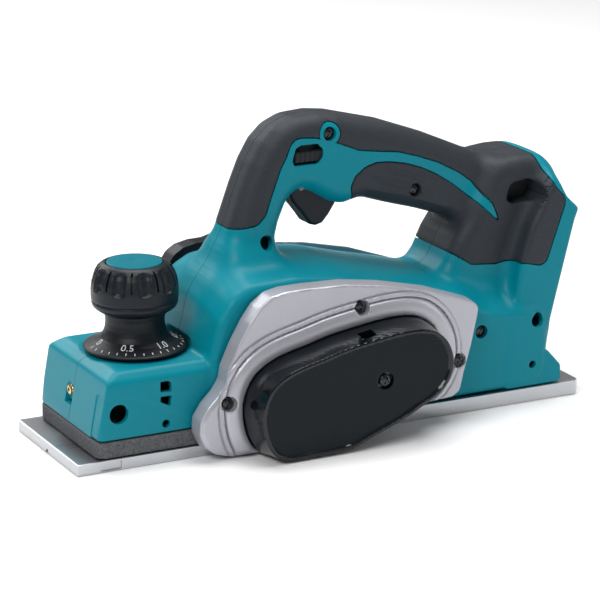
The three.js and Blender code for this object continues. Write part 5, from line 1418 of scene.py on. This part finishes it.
@dataclass
class DepthKnob:
    """The depth dial with its marks, the fluted grip, the cap, the spring and the screw."""

    pockets: int = 10
    mark_count: int = 21
    zero_angle: float = 180.8
    step_angle: float = 10.8

    dial_profile: tuple = ((6.3, 53.6), (27.4, 53.6), (28.5, 54.2), (28.5, 55.0), (27.6, 55.6), (24.6, 56.9),
                           (21.6, 58.3), (19.2, 60.0), (17.5, 62.4), (16.6, 65.0), (16.2, 68.0), (16.3, 71.0),
                           (17.2, 74.4), (6.3, 74.4))
    grip_profile: tuple = ((6.3, 74.8), (19.4, 74.8), (21.4, 76.2), (22.8, 77.4), (23.5, 78.9), (23.6, 80.0),
                           (23.1, 80.5), (23.1, 80.9), (23.8, 81.5), (23.9, 88.0), (23.4, 92.0), (22.2, 95.6),
                           (20.4, 98.8), (18.2, 100.6), (16.1, 101.5), (15.7, 101.2), (15.7, 98.7),
                           (6.3, 98.7))

    def surface_height(self, radius: float) -> float:
        """Gives the height of the dial's face at a radius."""
        face = self.dial_profile[4:11]
        return float(np.interp(radius, [p[0] for p in face][::-1], [p[1] for p in face][::-1]))

    def dial(self) -> bpy.types.Mesh:
        """Turns the dial."""
        profile = rounded(self.dial_profile, 1.6, 5)
        return lathe_mesh("depth_dial_cone", KNOB_X, 0, profile, 160)

    def grip_form(self) -> Form:
        """Gives the grip with wide pockets and thin slots round its waist."""
        outline = Outline(rounded(self.grip_profile, 0.9, 4))
        body = turned_form(KNOB_X, 0, outline)

        def distance(p: np.ndarray) -> np.ndarray:
            value = body(p)
            x, y, z = p[:, 0] - KNOB_X, p[:, 1], p[:, 2]
            radius, angle = np.hypot(x, y), np.arctan2(y, x)
            pitch = 2 * math.pi / self.pockets
            start = math.radians(-117.3)
            wide = (np.mod(angle - start, pitch) - pitch / 2) * radius
            thin = (np.mod(angle - start + pitch / 2, pitch) - pitch / 2) * radius
            skin = np.interp(z, (81.5, 88.0, 92.0, 95.6, 98.8, 100.6), (23.8, 23.9, 23.4, 22.2, 20.4, 18.2))
            scallop = np.hypot(wide, radius - skin - 2.5) - 4.7
            pocket = _edge(scallop, np.abs(z - 93.4) - 6.3, 2.4)
            slot = _edge(np.abs(thin) - 0.6, np.abs(z - 94.6) - 5.2, 0.5)
            hollow = np.maximum(pocket, -(value + 2.2))
            cut = np.maximum(slot, -(value + 1.6))
            return -softest(-np.maximum(value, -cut), hollow, 0.4)

        return Form(distance)

    def marks(self, material: bpy.types.Material) -> bpy.types.Mesh:
        """Sets the tick marks on the dial's face with Geometry Nodes."""
        slope, length, rim = math.radians(23.4), 2.1, 26.5
        bench = Bench("dial_marks", {"Radius": rim * MM, "Height": self.surface_height(rim) * MM,
                                     "Step": math.radians(self.step_angle),
                                     "Start": math.radians(self.zero_angle)})
        given = bench.given.outputs
        index = bench.node("GeometryNodeInputIndex").outputs[0]
        angle = bench.node("ShaderNodeMath", {0: index, 1: given["Step"]}, operation="MULTIPLY").outputs[0]
        angle = bench.node("ShaderNodeMath", {0: angle, 1: given["Start"]}, operation="ADD").outputs[0]
        cosine = bench.node("ShaderNodeMath", {0: angle}, operation="COSINE").outputs[0]
        sine = bench.node("ShaderNodeMath", {0: angle}, operation="SINE").outputs[0]
        x = bench.node("ShaderNodeMath", {0: cosine, 1: given["Radius"]}, operation="MULTIPLY").outputs[0]
        x = bench.node("ShaderNodeMath", {0: x, 1: KNOB_X * MM}, operation="ADD").outputs[0]
        y = bench.node("ShaderNodeMath", {0: sine, 1: given["Radius"]}, operation="MULTIPLY").outputs[0]
        spot = bench.node("ShaderNodeCombineXYZ", {"X": x, "Y": y, "Z": given["Height"]}).outputs[0]
        placed = bench.node("GeometryNodeSetPosition", {"Geometry": given["Geometry"], "Position": spot})
        turn = bench.node("ShaderNodeCombineXYZ", {"Z": angle}).outputs[0]
        tick = bench.node("GeometryNodeMeshCube", {"Size": (length * MM, 0.42 * MM, 0.2 * MM)})
        shifted = bench.node("GeometryNodeTransform", {
            "Geometry": tick.outputs[0], "Translation": (-length / 2 * MM, 0.0, 0.0)})
        tilted = bench.node("GeometryNodeTransform", {
            "Geometry": shifted.outputs[0], "Rotation": (0.0, slope, 0.0)})
        fifth = bench.node("ShaderNodeMath", {0: index, 1: 5.0}, operation="MODULO").outputs[0]
        minor = bench.node("ShaderNodeMath", {0: fifth, 1: 0.5}, operation="GREATER_THAN").outputs[0]
        length = bench.node("ShaderNodeMath", {0: minor, 1: -0.38, 2: 1.0},
                            operation="MULTIPLY_ADD").outputs[0]
        size = bench.node("ShaderNodeCombineXYZ", {"X": length, "Y": 1.0, "Z": 1.0}).outputs[0]
        copies = bench.node("GeometryNodeInstanceOnPoints", {
            "Points": placed.outputs[0], "Instance": tilted.outputs[0], "Rotation": turn, "Scale": size})
        bench.finish(copies.outputs[0], material)
        return bench.run("dial_marks", [(mark * 0.01, 0, 0) for mark in range(self.mark_count)])

    def numerals(self) -> bpy.types.Mesh:
        """Wraps the depth figures round the dial's face."""
        joined = bmesh.new()
        for index, text in enumerate(("0", "0.5", "1.0", "1.5", "2.0")):
            curve = bpy.data.curves.new("figure", "FONT")
            curve.body = text
            curve.size = 6.3
            curve.align_x = "CENTER"
            curve.offset = -0.03
            curve.extrude = 0.1
            curve.resolution_u = 3
            holder = bpy.data.objects.new("figure", curve)
            bpy.context.scene.collection.objects.link(holder)
            graph = bpy.context.evaluated_depsgraph_get()
            flat = bpy.data.meshes.new_from_object(holder.evaluated_get(graph))
            bpy.data.objects.remove(holder)
            middle = math.radians(self.zero_angle + 5 * index * self.step_angle)
            for vertex in flat.vertices:
                across, up, out = vertex.co
                radius = 23.1 - up * 0.86
                angle = middle + across / 22.0
                height = self.surface_height(radius) + 0.02 + out * 0.9
                vertex.co = ((KNOB_X + radius * math.cos(angle)) * MM, radius * math.sin(angle) * MM,
                             height * MM)
            joined.from_mesh(flat)
        mesh = bpy.data.meshes.new("dial_figures")
        bmesh.ops.recalc_face_normals(joined, faces=joined.faces)
        joined.to_mesh(mesh)
        joined.free()
        return mesh

    def spring(self, material: bpy.types.Material) -> bpy.types.Mesh:
        """Coils the spring with Geometry Nodes inside its node's space."""
        low, high = box_mm("base_spring")
        wire = 0.65
        radius = (high[0] - low[0]) / 2 - wire
        bench = Bench("coil_spring",
                      {"Radius": radius * MM, "Wire": wire * MM,
                       "Height": (high[2] - low[2] - 2 * wire) * MM})
        given = bench.given.outputs
        helix = bench.node("GeometryNodeCurveSpiral",
                           {"Resolution": 40, "Rotations": 4.0, "Start Radius": given["Radius"],
                                                       "End Radius": given["Radius"],
                                                       "Height": given["Height"]})
        ring = bench.node("GeometryNodeCurvePrimitiveCircle", {"Resolution": 10, "Radius": given["Wire"]})
        tube = bench.node("GeometryNodeCurveToMesh",
                          {"Curve": helix.outputs[0], "Profile Curve": ring.outputs[0],
                                                      "Fill Caps": True})
        copies = bench.node("GeometryNodeInstanceOnPoints",
                            {"Points": given["Geometry"], "Instance": tube.outputs[0]})
        bench.finish(copies.outputs[0], material)
        return bench.run("coil_spring", [(KNOB_X * MM, 0, (low[2] + wire) * MM)])

    def make(self, shop: Workshop) -> None:
        """Makes and dresses the knob's pieces."""
        shop.add(self.dial(), "depth_dial_cone", "knob", [BLACK], ["depth_dial"], crease=40)
        shop.add(self.marks(shop.palette.of(DIAL_WHITE)), "dial_marks", "knob", [DIAL_WHITE])
        shop.add(self.numerals(), "dial_figures", "knob", [DIAL_WHITE])
        low, high = box_mm("knob_grip")
        mesh = Skinner(cell=0.55, most=110_000).cover("knob_fluted_grip", self.grip_form(), low - 1, high + 1)
        shop.add(mesh, "knob_fluted_grip", "knob", [KNOB_RUBBER], ["knob_grip"])
        cap = rounded(((0.0, 99.0), (15.2, 99.0), (15.3, 101.3), (14.9, 101.75), (9.0, 101.95),
                       (0.0, 102.0)), 0.3, 3)
        cap[:, 0] = np.maximum(cap[:, 0], 0)
        shop.add(lathe_mesh("knob_cap_disc", KNOB_X, 0, cap, 96), "knob_cap_disc", "knob", [TEAL_CAP],
                 ["knob_cap"])
        spring = shop.add(self.spring(shop.palette.of(STEEL)), "coil_spring", "root", [STEEL],
                          ["base_spring"], crease=60)
        low, high = box_mm("base_spring")
        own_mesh(spring)
        shop.palette.carried("depth_screw", STEEL)


# ------------------------------------------------------------------ controls and inner pieces


@dataclass
class Controls:
    """Trigger, lock-off button, rest foot and brass insert."""

    trigger_points: tuple = ((-78.3, 130.5), (-76, 125), (-72, 120), (-68.5, 115.5), (-65.5, 111.2),
                             (-61.5, 110.1),
                             (-57.5, 111.2), (-53.6, 115.6), (-49.6, 121.6), (-48.8, 126.5), (-56.5, 131.8),
                             (-68.5, 136.8), (-75.5, 136.8), (-78.3, 134.5))

    def trigger_form(self) -> Form:
        """Gives the trigger: a rounded slab with a thin groove along its middle and a hole for its pin."""
        low, high = box_mm("trigger")
        outline = Outline(rounded(self.trigger_points, 2.5))
        half = high[1]

        def distance(p: np.ndarray) -> np.ndarray:
            flat = outline(p[:, 0], p[:, 2])
            value = _edge(flat, np.abs(p[:, 1]) - half, 2.2)
            seam = 0.35 * np.exp(-(p[:, 1] / 0.35) ** 2)
            return value + seam

        return Form(distance) - rod((-73.5, 134.0), 1.8, -20, 20)

    def button_form(self) -> Form:
        """Gives the lock-off bar with ribbed thumb faces."""
        low, high = box_mm("lock_button")
        middle = (low[2] + high[2]) / 2
        x0, x1 = low[0], high[0]

        def distance(p: np.ndarray) -> np.ndarray:
            value = _edge(np.maximum(np.abs(p[:, 0] - (x0 + x1) / 2) - (x1 - x0) / 2,
                                     np.abs(p[:, 2] - middle) - 3.4), np.abs(p[:, 1]) - high[1], 1.1)
            return value + 0.3 * (np.mod(p[:, 0] - x0, 3.0) < 0.9) * (np.abs(p[:, 1]) > high[1] - 0.9)

        return Form(distance)

    def foot_form(self) -> Form:
        """Gives the rest foot: a short finger with a curled tip round its pin."""
        low, high = box_mm("rest_foot")
        pivot = (70.0, 4.4)
        points = ((low[0], 1.3), (low[0] + 4, 0.7), (pivot[0] - 2, 0.8), (pivot[0] + 1.4, 2.2),
                  (pivot[0] + 2.6, 4.4),
                  (pivot[0] + 1.4, 6.6), (pivot[0] - 1, 6.9), (pivot[0] - 5, 5.4), (low[0] + 2, 4.7),
                  (low[0], 4.0))
        outline = Outline(rounded(points, 1.0))
        return bar(outline, low[1], high[1], 0.6) - rod(pivot, 1.8, -60, 60)

    def insert_mesh(self) -> bpy.types.Mesh:
        """Turns the threaded brass insert about a line along X."""
        low, high = box_mm("brass_insert")
        middle_y, middle_z = (low[1] + high[1]) / 2, (low[2] + high[2]) / 2
        profile = [(1.2, 0.0), (1.9, 0.0), (2.55, 0.4)]
        profile += [(2.55 - 0.18 * (step % 2), 1.0 + step * 0.35) for step in range(18)]
        profile += [(2.5, high[0] - low[0]), (1.2, high[0] - low[0])]
        mesh = lathe_mesh("brass_thread_insert", 0, 0, np.array(profile), 48)
        turn = Matrix.Translation((low[0] * MM, middle_y * MM,
                                   middle_z * MM)) @ Matrix.Rotation(math.pi / 2, 4, "Y")
        mesh.transform(turn)
        return mesh

    def make(self, shop: Workshop) -> None:
        """Makes the controls."""
        for name, form, body, node, finish, cell in (
                ("finger_trigger", self.trigger_form(), "trigger", "trigger", TRIGGER_BLACK, 0.5),
                ("lock_off_bar", self.button_form(), "lock_button", "lock_button", BLACK, 0.5),
                ("rest_foot_finger", self.foot_form(), "rest_foot", "rest_foot", BLACK, 0.5)):
            low, high = box_mm(node)
            mesh = Skinner(cell=cell, most=40_000).cover(name, form, low - 1, high + 1)
            shop.add(mesh, name, body, [finish], [node])
        shop.add(self.insert_mesh(), "brass_thread_insert", "root", [BRASS], ["brass_insert"])


CARRIED = {
    STEEL: ("cutter_drum", "blade_clamp_1", "blade_clamp_2", "drum_bearing_left", "drum_bearing_right",
            "drum_pulley", "motor_pulley", "motor_can", "motor_bearing_left", "motor_bearing_right",
            "foot_pin"),
    BLADE_STEEL: ("blade_1", "blade_2"),
    DARK_STEEL: tuple(f"clamp_bolt_{index}" for index in range(1, 7)) + ("trigger_pin",),
    BLACK: ("chip_chute", "brush_plate", "fan", "switch_body", "controller", "terminal_block"),
    BELT: ("drive_belt",),
    COPPER: ("rotor",),
    BRASS: ("contact_1", "contact_2", "contact_3"),
    LEAD: ("battery_lead", "motor_lead"),
}


# ------------------------------------------------------------------ studio


@dataclass
class Studio:
    """Pale floor, soft lights and the camera."""

    target: tuple[float, float, float] = (-0.0679, 0.0, 0.06626)
    azimuth: float = -27.263
    elevation: float = 16.458
    roll: float = 0.19
    distance: float = 1.568475
    lens: float = 168.48

    def camera(self) -> None:
        """Sets the camera."""
        data = bpy.data.cameras.new("camera")
        data.lens = self.lens
        data.sensor_width = 36.0
        data.clip_end = 20.0
        camera = bpy.data.objects.new("camera", data)
        bpy.context.scene.collection.objects.link(camera)
        turn, rise = math.radians(self.azimuth), math.radians(self.elevation)
        away = Vector((math.sin(turn) * math.cos(rise), -math.cos(turn) * math.cos(rise), math.sin(rise)))
        camera.location = Vector(self.target) + away * self.distance
        facing = (-away).to_track_quat("-Z", "Y").to_matrix().to_4x4()
        facing = facing @ Matrix.Rotation(math.radians(self.roll), 4, "Z")
        camera.rotation_euler = facing.to_euler()
        bpy.context.scene.camera = camera

    @staticmethod
    def light(name: str, power: float, size: tuple[float, float], place: Vector, aim: Vector) -> None:
        """Hangs a rectangular soft light."""
        data = bpy.data.lights.new(name, "AREA")
        data.energy = power
        data.shape = "RECTANGLE"
        data.size, data.size_y = size
        lamp = bpy.data.objects.new(name, data)
        bpy.context.scene.collection.objects.link(lamp)
        lamp.location = place
        lamp.rotation_euler = (place - aim).to_track_quat("Z", "Y").to_euler()

    def floor(self) -> None:
        """Lays a flat, pale floor that reaches far past the planer."""
        mesh = bpy.data.meshes.new("studio_floor")
        half = 6.0
        mesh.from_pydata([(-half, -half, 0), (half, -half, 0), (half, half, 0), (-half, half, 0)], [],
                         [(0, 1, 2, 3)])
        material = bpy.data.materials.new("pale_floor")
        material.use_nodes = True
        shader = material.node_tree.nodes["Principled BSDF"]
        shader.inputs["Base Color"].default_value = (0.93, 0.93, 0.93, 1)
        shader.inputs["Roughness"].default_value = 0.6
        mesh.materials.append(material)
        piece = bpy.data.objects.new("studio_floor", mesh)
        bpy.context.scene.collection.objects.link(piece)
        piece.location = (0, 0, -0.0001)

    def make(self) -> None:
        """Builds the studio."""
        self.camera()
        self.floor()
        aim = Vector((-0.065, 0, 0.07))
        self.light("key", 15.0, (0.9, 0.7), Vector((-1.2, -0.8, 1.3)), aim)
        self.light("top", 36.0, (1.5, 1.1), Vector((0.1, 0.25, 1.8)), aim)
        self.light("side", 4.0, (0.5, 1.1), Vector((1.4, -1.0, 0.6)), aim)
        self.light("back", 12.0, (1.4, 0.7), Vector((-0.5, 1.5, 1.0)), aim)
        world = bpy.data.worlds.new("studio_air")
        world.use_nodes = True
        world.node_tree.nodes["Background"].inputs["Color"].default_value = (1, 1, 1, 1)
        world.node_tree.nodes["Background"].inputs["Strength"].default_value = 0.22
        bpy.context.scene.world = world
        bpy.context.scene.view_settings.view_transform = "Standard"


def main() -> None:
    """Builds the studio, then every sub-assembly."""
    logging.basicConfig(level=logging.INFO, format="%(relativeCreated)d %(message)s")
    Studio().make()
    palette = Palette()
    shop = Workshop(palette)
    for part in (Casing(), BeltSide(), ChipSide(), Soles(), Fasteners(), DepthKnob(), Controls()):
        part.make(shop)
    for finish, nodes in CARRIED.items():
        for node in nodes:
            palette.carried(node, finish)


if __name__ == "__main__":
    main()
